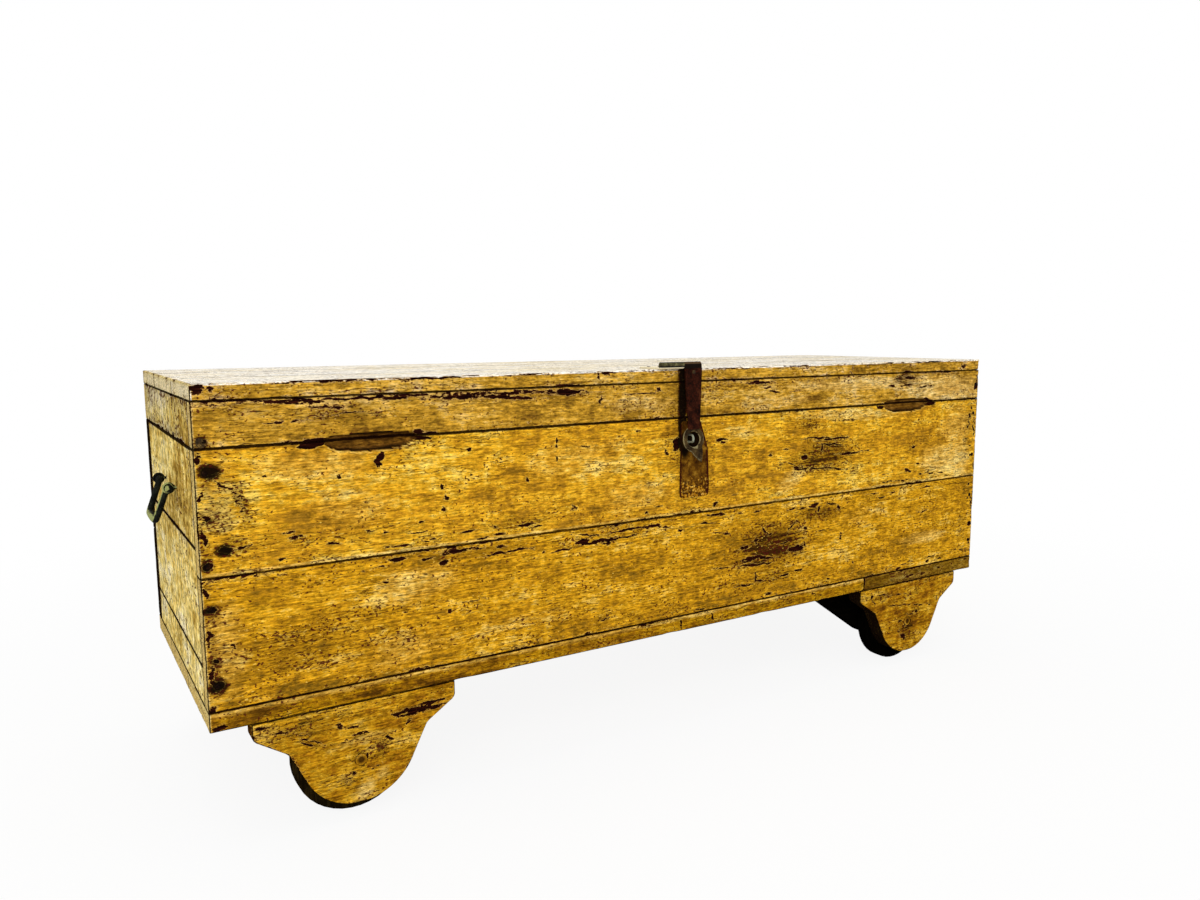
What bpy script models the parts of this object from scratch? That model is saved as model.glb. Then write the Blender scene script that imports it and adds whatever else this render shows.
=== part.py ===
"""A long painted wooden chest that stands on four small wheels.

The carcass is nailed up from planks on a base of three boards. The lid is a shallow
box of its own, hinged at the back and held shut by a hasp and staple at the front.
Each corner has a wheel between two wooden brackets, and each end has an iron bail.

The origin is on the floor under the middle of the carcass. X runs along the chest,
-Y is the front with the hasp, and Z is up. All sizes are in metres.
"""
import math

import bmesh
import bpy
from mathutils import Matrix, Vector

# Carcass
BODY_LENGTH = 1.500
BODY_DEPTH = 0.492
BODY_HEIGHT = 0.359
BOARD_THICKNESS = 0.024
BASE_THICKNESS = 0.026
FRONT_SEAM_HEIGHT = 0.198
BACK_SEAM_HEIGHT = 0.176
END_LOWER_SEAM_HEIGHT = 0.080
END_UPPER_SEAM_HEIGHT = 0.232
BASE_FRONT_WIDTH = 0.172
BASE_BACK_WIDTH = 0.150
BASE_SHORT_LENGTH = 0.321
POST_WIDTH = 0.038
POST_SHORTFALL = 0.006

# Lid
RIM_HEIGHT = 0.058
TOP_THICKNESS = 0.021
TOP_FRONT_WIDTH = 0.158
TOP_BACK_WIDTH = 0.150
BATTEN_WIDTH = 0.062
BATTEN_THICKNESS = 0.020
BATTEN_INSET = 0.280
SCOOP_INSET = 0.220
SCOOP_LENGTH = 0.133
SCOOP_DEPTH = 0.012
SCOOP_ABOVE_SEAM = 0.012
SCOOP_BELOW_SEAM = 0.018

# Feet, wheels and axles
FOOT_INSET = 0.190
FOOT_THICKNESS = 0.030
FOOT_WIDTH = 0.280
FOOT_LIP = 0.0235
FOOT_LIP_ROUNDING = 0.010
FOOT_SHOULDER = 0.052
FOOT_SHOULDER_ROUNDING = 0.016
FOOT_LOBE_TOP_WIDTH = 0.193
FOOT_LOBE_BOTTOM_WIDTH = 0.101
FOOT_LOBE_ROUNDING = 0.0812
FOOT_DROP = 0.144
FOOT_CHAMFER = 0.003
INNER_FOOT_THICKNESS = 0.028
INNER_FOOT_LEFT_INWARD_REACH = 0.186
INNER_FOOT_RIGHT_INWARD_REACH = 0.216
INNER_FOOT_OUTWARD_REACH = 0.125
INNER_FOOT_LIP = 0.006
INNER_FOOT_BOTTOM_WIDTH = 0.110
INNER_FOOT_DROP = 0.116
INNER_FOOT_ROUNDING = 0.040
WHEEL_RADIUS = 0.084
WHEEL_RIM_WIDTH = 0.026
WHEEL_RIM_DEPTH = 0.017
WHEEL_WEB_THICKNESS = 0.016
WHEEL_HUB_RADIUS = 0.027
WHEEL_HUB_WIDTH = 0.029
WHEEL_ROUNDING = 0.003
AXLE_DROP = 0.084
AXLE_RADIUS = 0.008
AXLE_HEAD_RADIUS = 0.013
AXLE_HEAD_THICKNESS = 0.005
AXLE_CLEARANCE = 0.0004
AXLE_RECESS = 0.001

# Hasp, staple and backing plate
HASP_BARREL_RADIUS = 0.0055
HASP_PIN_RADIUS = 0.0024
HASP_IRON = 0.0022
HASP_BARREL_OVERHANG = 0.006
STRAP_TOP_WIDTH = 0.034
STRAP_END_WIDTH = 0.023
STRAP_LENGTH = 0.104
STRAP_ROUNDING = 0.002
STRAP_TAPER_START = 0.010
HASP_LEAF_WIDTH = 0.044
HASP_LEAF_REACH = 0.062
HASP_LEAF_ROUNDING = 0.006
HASP_SET = math.radians(6.0)
EYE_DROP = 0.120
EYE_RADIUS = 0.021
EYE_HOLE_RADIUS = 0.0125
EYE_THICKNESS = 0.003
EYE_TONGUE_WIDTH = 0.016
EYE_TONGUE_TOP = 0.090
EYE_TAIL_REACH = 0.041
EYE_TAIL_ANGLE = math.radians(-70.0)
STAPLE_WIRE_RADIUS = 0.0018
STAPLE_SPREAD = 0.012
STAPLE_BEND = 0.005
STAPLE_BITE = 0.016
STAPLE_TO_EYE_GAP = 0.0007
STAPLE_SIDE_STEP = 0.004
PLATE_WIDTH = 0.060
PLATE_HEIGHT = 0.127
PLATE_THICKNESS = 0.002
PLATE_LEFT_EDGE = -0.018
PLATE_TOP_BELOW_SEAM = 0.006
PLATE_ROUNDING = 0.006

# Lid hinges
HINGE_INSET = 0.280
HINGE_WIDTH = 0.078
HINGE_BARREL_RADIUS = 0.0055
HINGE_PIN_RADIUS = 0.0026
HINGE_IRON = 0.0025
HINGE_BODY_LEAF_HEIGHT = 0.060
HINGE_LID_LEAF_HEIGHT = 0.050
HINGE_ROUNDING = 0.010

# End handles
HANDLE_HEIGHT = 0.290
HANDLE_EYE_SPACING = 0.104
HANDLE_FORWARD = 0.028
HANDLE_STANDOFF = 0.010
HANDLE_LEAN = math.radians(20.0)
BAIL_WIRE_RADIUS = 0.0036
BAIL_ARM_RADIUS = 0.0047
BAIL_GRIP_RADIUS = 0.0060
BAIL_HEAD_RADIUS = 0.0058
BAIL_HEAD_LENGTH = 0.005
BAIL_TOP_WIDTH = 0.082
BAIL_GRIP_WIDTH = 0.074
BAIL_DROP = 0.056
BAIL_BEND = 0.009
RING_WIRE_RADIUS = 0.0020
RING_CLEARANCE = 0.0006
CLINCH_LENGTH = 0.016
CLINCH_BEND = 0.003

# Shared fits and fineness
SEAT_GAP = 0.0003
EDGE_WEAR = 0.0015
CUT_OVERRUN = 0.004
WELD_DISTANCE = 0.00001
SWELL_STEP = 0.00002
SHARP_ANGLE = math.radians(35.0)
ARC_STEP = math.radians(12.0)
ROUND_STEPS = 20
WHEEL_STEPS = 40
RING_STEPS = 20
WIRE_RESOLUTION = 1
SCOOP_SEGMENTS = 24
SCOOP_RINGS = 12

# The backing plate's corners, as shares of its width and of its height from the bottom
PLATE_CORNER_SHARES = ((0.03, 1.0), (0.68, 1.0), (0.95, 0.63), (1.0, 0.15), (0.98, 0.0), (0.0, 0.0))

# A hinge's middle knuckle and its riveted pin, as shares of the hinge's width
MIDDLE_KNUCKLE_SHARE = 1 / 3
RIVETED_PIN_SHARE = 2 / 3

# Places that follow from the sizes
FLOOR_TO_BASE = AXLE_DROP + WHEEL_RADIUS
HALF_LENGTH = BODY_LENGTH / 2
HALF_DEPTH = BODY_DEPTH / 2
BASE_TOP = FLOOR_TO_BASE + BASE_THICKNESS
SEAM = FLOOR_TO_BASE + BODY_HEIGHT
RIM_BOTTOM = SEAM + SEAT_GAP
RIM_TOP = RIM_BOTTOM + RIM_HEIGHT
TOP_BOTTOM = RIM_TOP + SEAT_GAP
LID_TOP = TOP_BOTTOM + TOP_THICKNESS
INNER_HALF_LENGTH = HALF_LENGTH - BOARD_THICKNESS
INNER_HALF_DEPTH = HALF_DEPTH - BOARD_THICKNESS
AXLE_HEIGHT = FLOOR_TO_BASE - AXLE_DROP
HINGE_AXIS_Y = HALF_DEPTH + SEAT_GAP + HINGE_BARREL_RADIUS
HASP_AXIS_Y = -HALF_DEPTH - HASP_BARREL_OVERHANG
HASP_AXIS_Z = LID_TOP + SEAT_GAP + HASP_BARREL_RADIUS
STRAP_LEFT = -STRAP_TOP_WIDTH / 2
EYE_MIDDLE_X = STRAP_LEFT + STRAP_END_WIDTH / 2

# Colours, roughness and metallic value of the finishes
FINISHES = {
    "ochre_paint": ((0.50, 0.31, 0.055), 0.62, 0.0),
    "cream_paint": ((0.66, 0.60, 0.40), 0.62, 0.0),
    "olive_paint": ((0.26, 0.21, 0.06), 0.65, 0.0),
    "bare_wood": ((0.17, 0.10, 0.045), 0.75, 0.0),
    "dark_wood": ((0.035, 0.027, 0.02), 0.8, 0.0),
    "rusty_iron": ((0.095, 0.03, 0.012), 0.7, 0.6),
    "dark_iron": ((0.045, 0.045, 0.03), 0.6, 0.8),
    "rubbed_iron": ((0.16, 0.14, 0.10), 0.5, 0.8),
}


def clear_scene():
    """Empty the scene before the chest is built."""
    for item in list(bpy.data.objects):
        bpy.data.objects.remove(item, do_unlink=True)


def new_collection(name):
    """Add a collection to the scene."""
    collection = bpy.data.collections.new(name)
    bpy.context.scene.collection.children.link(collection)
    return collection


def new_material(name, finish):
    """Give a piece its own Principled material in one of the chest's finishes."""
    colour, roughness, metallic = FINISHES[finish]
    material = bpy.data.materials.new(name)
    material.use_nodes = True
    shader = material.node_tree.nodes["Principled BSDF"]
    shader.inputs["Base Color"].default_value = (*colour, 1.0)
    shader.inputs["Roughness"].default_value = roughness
    shader.inputs["Metallic"].default_value = metallic
    return material


def pivot(name, place, lean=(0.0, 0.0, 0.0), parent=None):
    """Put an empty on a joint's axis, to carry the pieces that turn about it."""
    empty = bpy.data.objects.new(name, None)
    chest.objects.link(empty)
    empty.location = place
    empty.rotation_euler = lean
    if parent is not None:
        carry(empty, parent)
    return empty


def carry(piece, parent):
    """Hang a piece on an empty without moving it."""
    bpy.context.view_layer.update()
    piece.parent = parent
    piece.matrix_parent_inverse = parent.matrix_world.inverted()


def seat(piece, parent):
    """Hang a piece on an empty, taking the empty's own place and lean."""
    piece.parent = parent


def add_piece(name, mesh, finish):
    """Make a mesh one of the chest's named pieces."""
    piece = bpy.data.objects.new(name, mesh)
    mesh.materials.clear()
    mesh.materials.append(new_material(name, finish))
    chest.objects.link(piece)
    return piece


def add_tool(name, mesh):
    """Make a mesh a cutter or a piece to be joined on, which isn't part of the chest."""
    tool = bpy.data.objects.new(name, mesh)
    tool.hide_render = True
    tool.display_type = "WIRE"
    tools.objects.link(tool)
    return tool


def combine(piece, tool, operation):
    """Cut a tool out of a piece, or join it on."""
    modifier = piece.modifiers.new(tool.name, "BOOLEAN")
    modifier.operation = operation
    modifier.solver = "EXACT"
    modifier.object = tool


def smooth(mesh):
    """Shade the round stretches of a mesh smooth and keep its corners sharp."""
    mesh.shade_smooth()
    mesh.set_sharp_from_angle(angle=SHARP_ANGLE)


def block_mesh(name, size):
    """A rectangular block about its own middle."""
    shape = bmesh.new()
    bmesh.ops.create_cube(shape, size=1.0)
    bmesh.ops.scale(shape, vec=size, verts=shape.verts)
    mesh = bpy.data.meshes.new(name)
    shape.to_mesh(mesh)
    shape.free()
    return mesh


def cylinder_mesh(name, radius, length, axis):
    """A cylinder about its own middle, along X, Y or Z."""
    turn = {"X": Matrix.Rotation(math.pi / 2, 4, "Y"), "Y": Matrix.Rotation(math.pi / 2, 4, "X"),
            "Z": Matrix.Identity(4)}[axis]
    shape = bmesh.new()
    bmesh.ops.create_cone(shape, cap_ends=True, segments=ROUND_STEPS, radius1=radius, radius2=radius,
                          depth=length, matrix=turn)
    mesh = bpy.data.meshes.new(name)
    shape.to_mesh(mesh)
    shape.free()
    smooth(mesh)
    return mesh


def curve_mesh(curve):
    """The mesh of a curve, with its caps welded to its walls."""
    holder = bpy.data.objects.new(curve.name, curve)
    tools.objects.link(holder)
    bpy.context.view_layer.update()
    evaluated = holder.evaluated_get(bpy.context.evaluated_depsgraph_get())
    mesh = bpy.data.meshes.new_from_object(evaluated)
    mesh.name = curve.name
    bpy.data.objects.remove(holder, do_unlink=True)
    shape = bmesh.new()
    shape.from_mesh(mesh)
    bmesh.ops.remove_doubles(shape, verts=shape.verts, dist=WELD_DISTANCE)
    shape.to_mesh(mesh)
    shape.free()
    smooth(mesh)
    return mesh


def round_corners(corners, closed):
    """Turn the corners (point, radius) of a path into arcs that its straight runs meet."""
    points = []
    count = len(corners)
    for index, (corner, radius) in enumerate(corners):
        here = Vector(corner)
        is_end = not closed and index in (0, count - 1)
        if is_end or radius == 0:
            points.append(here)
            continue
        back = (Vector(corners[index - 1][0]) - here).normalized()
        ahead = (Vector(corners[(index + 1) % count][0]) - here).normalized()
        half = back.angle(ahead) / 2
        centre = here + (back + ahead).normalized() * radius / math.sin(half)
        spoke = here + back * radius / math.tan(half) - centre
        turn = math.pi - 2 * half
        steps = max(2, math.ceil(turn / ARC_STEP))
        axis = ahead.cross(back)
        for step in range(steps + 1):
            points.append(centre + Matrix.Rotation(turn * step / steps, 3, axis) @ spoke)
    return points


def flat_outline(corners):
    """An outline in X and Z from corners (x, z, rounding)."""
    return round_corners([((x, 0.0, z), rounding) for x, z, rounding in corners], closed=True)


def arc(middle_x, middle_z, radius, start, end, steps=None):
    """Points of an arc in X and Z, from one angle to another."""
    if steps is None:
        steps = max(2, math.ceil(abs(end - start) / ARC_STEP))
    angles = [start + (end - start) * step / steps for step in range(steps + 1)]
    return [Vector((middle_x + radius * math.cos(a), 0.0, middle_z + radius * math.sin(a))) for a in angles]


def plate_mesh(name, outlines, thickness, chamfer=0.0):
    """A flat plate in X and Z, of a thickness along Y; outlines after the first are holes in it."""
    curve = bpy.data.curves.new(name, "CURVE")
    curve.dimensions = "2D"
    curve.fill_mode = "BOTH"
    curve.extrude = thickness / 2 - chamfer
    curve.bevel_depth = chamfer
    curve.bevel_resolution = 0
    curve.offset = -chamfer
    for outline in outlines:
        spline = curve.splines.new("POLY")
        spline.points.add(len(outline) - 1)
        for point, place in zip(spline.points, outline):
            point.co = (place.x, place.z, 0.0, 1.0)
        spline.use_cyclic_u = True
    mesh = curve_mesh(curve)
    mesh.transform(Matrix.Rotation(math.pi / 2, 4, "X"))
    return mesh


def rod_mesh(name, path, radius, swell=None, closed=False):
    """A round bar along a path; swell gives each point's radius as a share of the bar's."""
    curve = bpy.data.curves.new(name, "CURVE")
    curve.dimensions = "3D"
    curve.bevel_depth = radius
    curve.bevel_resolution = WIRE_RESOLUTION
    curve.use_fill_caps = not closed
    spline = curve.splines.new("POLY")
    spline.points.add(len(path) - 1)
    for index, place in enumerate(path):
        spline.points[index].co = (*place, 1.0)
        spline.points[index].radius = 1.0 if swell is None else swell[index]
    spline.use_cyclic_u = closed
    return curve_mesh(curve)


def turned_piece(name, profile, steps, finish, closed):
    """A turned piece along Y: a profile (radius, height) spun by a Screw, its facets level below."""
    mesh = bpy.data.meshes.new(name)
    places = [(radius, 0.0, height) for radius, height in profile]
    edges = [(index, index + 1) for index in range(len(places) - 1)]
    if closed:
        edges.append((len(places) - 1, 0))
    mesh.from_pydata(places, edges, [])
    mesh.transform(Matrix.Rotation(math.pi / steps, 4, "Z"))
    piece = add_piece(name, mesh, finish)
    screw = piece.modifiers.new("turning", "SCREW")
    screw.steps = steps
    screw.render_steps = steps
    screw.use_merge_vertices = True
    screw.merge_threshold = WELD_DISTANCE
    screw.use_smooth_shade = True
    piece.rotation_euler = (-math.pi / 2, 0.0, 0.0)
    return piece


def board(name, low, high, finish, parent=None):
    """A sawn board between two corners, with its edges worn off."""
    low = Vector(low)
    high = Vector(high)
    piece = add_piece(name, block_mesh(name, high - low), finish)
    piece.location = (low + high) / 2
    bevel = piece.modifiers.new("worn edges", "BEVEL")
    bevel.width = EDGE_WEAR
    bevel.segments = 1
    if parent is not None:
        carry(piece, parent)
    return piece


def build_base():
    """The base: three long boards, the front one pieced out with a short length at the right."""
    front_edge = -HALF_DEPTH + BASE_FRONT_WIDTH
    back_edge = HALF_DEPTH - BASE_BACK_WIDTH
    joint = HALF_LENGTH - BASE_SHORT_LENGTH
    runs = (
        ("base_board_front_long", -HALF_LENGTH, joint - SEAT_GAP, -HALF_DEPTH, front_edge - SEAT_GAP),
        ("base_board_front_short", joint, HALF_LENGTH, -HALF_DEPTH, front_edge - SEAT_GAP),
        ("base_board_middle", -HALF_LENGTH, HALF_LENGTH, front_edge, back_edge - SEAT_GAP),
        ("base_board_back", -HALF_LENGTH, HALF_LENGTH, back_edge, HALF_DEPTH),
    )
    for name, left, right, front, back in runs:
        finish = "olive_paint" if name.endswith("short") else "ochre_paint"
        board(name, (left, front, FLOOR_TO_BASE), (right, back, BASE_TOP), finish)


def build_long_walls():
    """Front and back, of two planks each; they lap over the ends and are nailed into them."""
    planks = {}
    for name, side, seam in (("front", -1, FRONT_SEAM_HEIGHT), ("back", 1, BACK_SEAM_HEIGHT)):
        faces = sorted((side * HALF_DEPTH, side * INNER_HALF_DEPTH))
        seam_height = FLOOR_TO_BASE + seam
        levels = (("lower", BASE_TOP + SEAT_GAP, seam_height), ("upper", seam_height + SEAT_GAP, SEAM))
        for level, bottom, top in levels:
            planks[name, level] = board(f"{name}_plank_{level}", (-HALF_LENGTH, faces[0], bottom),
                                        (HALF_LENGTH, faces[1], top), "ochre_paint")
    return planks


def build_end_walls():
    """Left and right ends, of three planks each, standing between the front and the back."""
    planks = {}
    reach = INNER_HALF_DEPTH - SEAT_GAP
    heights = (BASE_TOP, FLOOR_TO_BASE + END_LOWER_SEAM_HEIGHT, FLOOR_TO_BASE + END_UPPER_SEAM_HEIGHT, SEAM)
    for name, side in (("left", -1), ("right", 1)):
        faces = sorted((side * HALF_LENGTH, side * INNER_HALF_LENGTH))
        for index, level in enumerate(("lower", "middle", "upper")):
            top_gap = 0.0 if level == "upper" else SEAT_GAP
            bottom_gap = SEAT_GAP if level == "lower" else 0.0
            planks[name, level] = board(
                f"{name}_end_plank_{level}", (faces[0], -reach, heights[index] + bottom_gap),
                (faces[1], reach, heights[index + 1] - top_gap), "cream_paint")
    return planks


def build_corner_posts():
    """A square post in each inner corner, which the planks are nailed to."""
    outer_x = INNER_HALF_LENGTH - SEAT_GAP
    outer_y = INNER_HALF_DEPTH - SEAT_GAP
    for row, side_y in (("front", -1), ("back", 1)):
        for name, side_x in (("left", -1), ("right", 1)):
            xs = sorted((side_x * outer_x, side_x * (outer_x - POST_WIDTH)))
            ys = sorted((side_y * outer_y, side_y * (outer_y - POST_WIDTH)))
            board(f"corner_post_{row}_{name}", (xs[0], ys[0], BASE_TOP + SEAT_GAP),
                  (xs[1], ys[1], SEAM - POST_SHORTFALL), "bare_wood")


def foot_outline():
    """The outer bracket: a lip and a shoulder each side of a round lobe."""
    half = FOOT_WIDTH / 2
    right = (
        (half, 0.0, 0.0),
        (half, -FOOT_LIP, FOOT_LIP_ROUNDING),
        (FOOT_LOBE_TOP_WIDTH / 2, -FOOT_SHOULDER, FOOT_SHOULDER_ROUNDING),
        (FOOT_LOBE_BOTTOM_WIDTH / 2, -FOOT_DROP, FOOT_LOBE_ROUNDING),
    )
    left = [(-x, z, rounding) for x, z, rounding in reversed(right)]
    return flat_outline([*right, *left])


def inner_foot_outline(outward, inward_reach):
    """The inner bracket: a board that slopes in to a round nose, longer towards the chest's middle."""
    half_bottom = INNER_FOOT_BOTTOM_WIDTH / 2
    corners = (
        (INNER_FOOT_OUTWARD_REACH, 0.0, 0.0),
        (INNER_FOOT_OUTWARD_REACH, -INNER_FOOT_LIP, 0.0),
        (half_bottom, -INNER_FOOT_DROP, INNER_FOOT_ROUNDING),
        (-half_bottom, -INNER_FOOT_DROP, INNER_FOOT_ROUNDING),
        (-inward_reach, -INNER_FOOT_LIP, 0.0),
        (-inward_reach, 0.0, 0.0),
    )
    return flat_outline([(outward * x, z, rounding) for x, z, rounding in corners])


def wheel_profile():
    """Half of the wheel's section, from the bore out over hub, web and rim, as a closed loop."""
    bore = AXLE_RADIUS + AXLE_CLEARANCE
    hub = WHEEL_HUB_WIDTH / 2
    web = WHEEL_WEB_THICKNESS / 2
    rim = WHEEL_RIM_WIDTH / 2
    rim_inside = WHEEL_RADIUS - WHEEL_RIM_DEPTH
    upper = (
        (bore, hub),
        (WHEEL_HUB_RADIUS - WHEEL_ROUNDING, hub),
        (WHEEL_HUB_RADIUS, hub - WHEEL_ROUNDING),
        (WHEEL_HUB_RADIUS + WHEEL_ROUNDING, web),
        (rim_inside - WHEEL_ROUNDING, web),
        (rim_inside, rim),
        (WHEEL_RADIUS - WHEEL_ROUNDING, rim),
        (WHEEL_RADIUS, rim - WHEEL_ROUNDING),
    )
    lower = [(radius, -height) for radius, height in reversed(upper)]
    return [*upper, *lower]


def axle_profile(length):
    """The pin's section: a plain shank from the outer face and a hammered head inside."""
    crown = AXLE_HEAD_RADIUS - WHEEL_ROUNDING
    return [
        (0.0, length + AXLE_HEAD_THICKNESS),
        (crown, length + AXLE_HEAD_THICKNESS),
        (AXLE_HEAD_RADIUS, length + AXLE_HEAD_THICKNESS / 2),
        (AXLE_HEAD_RADIUS, length),
        (AXLE_RADIUS, length),
        (AXLE_RADIUS, 0.0),
        (0.0, 0.0),
    ]


def build_running_gear():
    """Four wheels, each on a pin through an outer and an inner bracket under the base."""
    wheel_middle = FOOT_THICKNESS + SEAT_GAP + WHEEL_HUB_WIDTH / 2
    inner_foot_middle = wheel_middle + WHEEL_HUB_WIDTH / 2 + SEAT_GAP + INNER_FOOT_THICKNESS / 2
    pin_length = inner_foot_middle + INNER_FOOT_THICKNESS / 2 + SEAT_GAP - AXLE_RECESS
    hole = cylinder_mesh("axle_hole", AXLE_RADIUS + SEAT_GAP, BODY_DEPTH + 2 * CUT_OVERRUN, "Y")
    seat_height = FLOOR_TO_BASE - SEAT_GAP
    for name, side_x, inward_reach in (("left", -1, INNER_FOOT_LEFT_INWARD_REACH),
                                       ("right", 1, INNER_FOOT_RIGHT_INWARD_REACH)):
        middle_x = side_x * (HALF_LENGTH - FOOT_INSET)
        cutter = add_tool(f"axle_hole_{name}", hole)
        cutter.location = (middle_x, 0.0, AXLE_HEIGHT)
        for row, side_y in (("front", -1), ("back", 1)):
            face = side_y * HALF_DEPTH
            place = f"{row}_{name}"

            outer = add_piece(f"foot_outer_{place}",
                              plate_mesh("foot_outer", [foot_outline()], FOOT_THICKNESS, FOOT_CHAMFER), "ochre_paint")
            outer.location = (middle_x, face - side_y * FOOT_THICKNESS / 2, seat_height)
            combine(outer, cutter, "DIFFERENCE")

            inner = add_piece(f"foot_inner_{place}",
                              plate_mesh("foot_inner", [inner_foot_outline(side_x, inward_reach)],
                                         INNER_FOOT_THICKNESS), "dark_wood")
            inner.location = (middle_x, face - side_y * inner_foot_middle, seat_height)
            combine(inner, cutter, "DIFFERENCE")

            turn = pivot(f"wheel_pivot_{place}", (middle_x, face - side_y * wheel_middle, AXLE_HEIGHT))
            wheel = turned_piece(f"wheel_{place}", wheel_profile(), WHEEL_STEPS, "dark_wood", closed=True)
            seat(wheel, turn)

            axle = turned_piece(f"axle_{place}", axle_profile(pin_length), ROUND_STEPS, "dark_iron", closed=False)
            axle.rotation_euler = (side_y * math.pi / 2, 0.0, 0.0)
            axle.location = (middle_x, face - side_y * AXLE_RECESS, AXLE_HEIGHT)


def build_lid(hinge):
    """The lid: a rim of four boards under three long top boards, held together by battens."""
    inner_x = INNER_HALF_LENGTH
    inner_y = INNER_HALF_DEPTH
    end_reach = inner_y - SEAT_GAP
    front = board("lid_rim_front", (-HALF_LENGTH, -HALF_DEPTH, RIM_BOTTOM), (HALF_LENGTH, -inner_y, RIM_TOP),
                  "ochre_paint", hinge)
    board("lid_rim_back", (-HALF_LENGTH, inner_y, RIM_BOTTOM), (HALF_LENGTH, HALF_DEPTH, RIM_TOP),
          "ochre_paint", hinge)
    board("lid_rim_left", (-HALF_LENGTH, -end_reach, RIM_BOTTOM), (-inner_x, end_reach, RIM_TOP),
          "cream_paint", hinge)
    board("lid_rim_right", (inner_x, -end_reach, RIM_BOTTOM), (HALF_LENGTH, end_reach, RIM_TOP),
          "cream_paint", hinge)

    front_edge = -HALF_DEPTH + TOP_FRONT_WIDTH
    back_edge = HALF_DEPTH - TOP_BACK_WIDTH
    strips = (("front", -HALF_DEPTH, front_edge - SEAT_GAP), ("middle", front_edge, back_edge - SEAT_GAP),
              ("back", back_edge, HALF_DEPTH))
    for name, low, high in strips:
        board(f"lid_top_{name}", (-HALF_LENGTH, low, TOP_BOTTOM), (HALF_LENGTH, high, LID_TOP),
              "cream_paint", hinge)

    for name, side in (("left", -1), ("middle", 0), ("right", 1)):
        middle = side * (HALF_LENGTH - BATTEN_INSET)
        board(f"lid_batten_{name}", (middle - BATTEN_WIDTH / 2, -end_reach, RIM_TOP - BATTEN_THICKNESS),
              (middle + BATTEN_WIDTH / 2, end_reach, RIM_TOP), "bare_wood", hinge)
    return front


def cut_finger_scoops(lid_rim, plank):
    """Two lens-shaped hollows across the lid's seam, to lift the lid by."""
    shape = bmesh.new()
    bmesh.ops.create_uvsphere(shape, u_segments=SCOOP_SEGMENTS, v_segments=SCOOP_RINGS, radius=1.0,
                              matrix=Matrix.Rotation(math.pi / 2, 4, "Y"))
    height = SCOOP_ABOVE_SEAM + SCOOP_BELOW_SEAM
    height_middle = SEAM + SCOOP_ABOVE_SEAM - height / 2
    bmesh.ops.scale(shape, vec=(SCOOP_LENGTH / 2, SCOOP_DEPTH, height / 2), verts=shape.verts)
    mesh = bpy.data.meshes.new("finger_scoop")
    shape.to_mesh(mesh)
    shape.free()
    for name, side in (("left", -1), ("right", 1)):
        scoop = add_tool(f"finger_scoop_{name}", mesh)
        scoop.location = (side * (HALF_LENGTH - SCOOP_INSET), -HALF_DEPTH, height_middle)
        combine(lid_rim, scoop, "DIFFERENCE")
        combine(plank, scoop, "DIFFERENCE")


def leaf(name, corners, notches, iron, barrel, pin, finish, riveted=False):
    """A hinge leaf of one strip of iron, rolled round a pin along X at the origin.

    corners (x, z, rounding) give the leaf's plan below the pin, starting with its top left and
    top right at z = 0. The flat is tangent to the barrel at -Y. notches are the spans along X
    that clear the other leaf's knuckles. A riveted leaf holds the pin fast across its notch,
    and any other has a bore that turns on a pin.
    """
    left = min(x for x, _, _ in corners)
    right = max(x for x, _, _ in corners)
    lowest = min(z for _, z, _ in corners)
    foot = lowest - CUT_OVERRUN
    wrap = math.acos((barrel - iron) / barrel)
    section = [Vector((-barrel, 0.0, foot)), *arc(0.0, 0.0, barrel, math.pi, wrap - math.pi),
               Vector((iron - barrel, 0.0, foot))]
    bore = [] if riveted else [arc(0.0, 0.0, pin + SEAT_GAP, 0.0, 2 * math.pi)[:-1]]
    mesh = plate_mesh(name, [section, *bore], right - left + 2 * CUT_OVERRUN)
    mesh.transform(Matrix.Translation(((left + right) / 2, 0.0, 0.0)) @ Matrix.Rotation(math.pi / 2, 4, "Z"))
    piece = add_piece(name, mesh, finish)

    reach = barrel + CUT_OVERRUN
    raised = [(x, reach if z == 0 else z, rounding) for x, z, rounding in corners]
    trim = add_tool(f"{name}_plan", plate_mesh("plan", [flat_outline(raised)], 2 * reach))
    combine(piece, trim, "INTERSECT")
    seat(trim, piece)
    for index, (low, high) in enumerate(notches):
        depth = barrel + SEAT_GAP
        size = (high - low + 2 * SEAT_GAP, 2 * reach, depth + reach)
        notch = add_tool(f"{name}_notch_{index}", block_mesh("notch", size))
        notch.location = ((low + high) / 2, 0.0, (reach - depth) / 2)
        combine(piece, notch, "DIFFERENCE")
        seat(notch, piece)
    if riveted:
        core = add_tool(f"{name}_pin", cylinder_mesh("pin", pin, (right - left) * RIVETED_PIN_SHARE, "X"))
        combine(piece, core, "UNION")
        seat(core, piece)
    return piece


def build_lid_hinges(hinge):
    """Two iron hinges on the back, each a leaf on the lid and a leaf on the chest that holds the pin."""
    half = HINGE_WIDTH / 2
    middle_half = HINGE_WIDTH * MIDDLE_KNUCKLE_SHARE / 2
    notches = {"body": [(-middle_half, middle_half)],
               "lid": [(-half, -middle_half - SEAT_GAP), (middle_half + SEAT_GAP, half)]}
    heights = {"body": HINGE_BODY_LEAF_HEIGHT, "lid": HINGE_LID_LEAF_HEIGHT}
    for name, side in (("left", -1), ("right", 1)):
        for role, height in heights.items():
            corners = [(-half, 0.0, 0.0), (half, 0.0, 0.0), (half, -height, HINGE_ROUNDING),
                       (-half, -height, HINGE_ROUNDING)]
            iron = leaf(f"hinge_{role}_leaf_{name}", corners, notches[role], HINGE_IRON,
                        HINGE_BARREL_RADIUS, HINGE_PIN_RADIUS, "dark_iron", riveted=role == "body")
            iron.location = (side * (HALF_LENGTH - HINGE_INSET), HINGE_AXIS_Y, SEAM)
            if role == "lid":
                iron.rotation_euler = (0.0, math.pi, 0.0)
                carry(iron, hinge)


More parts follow.
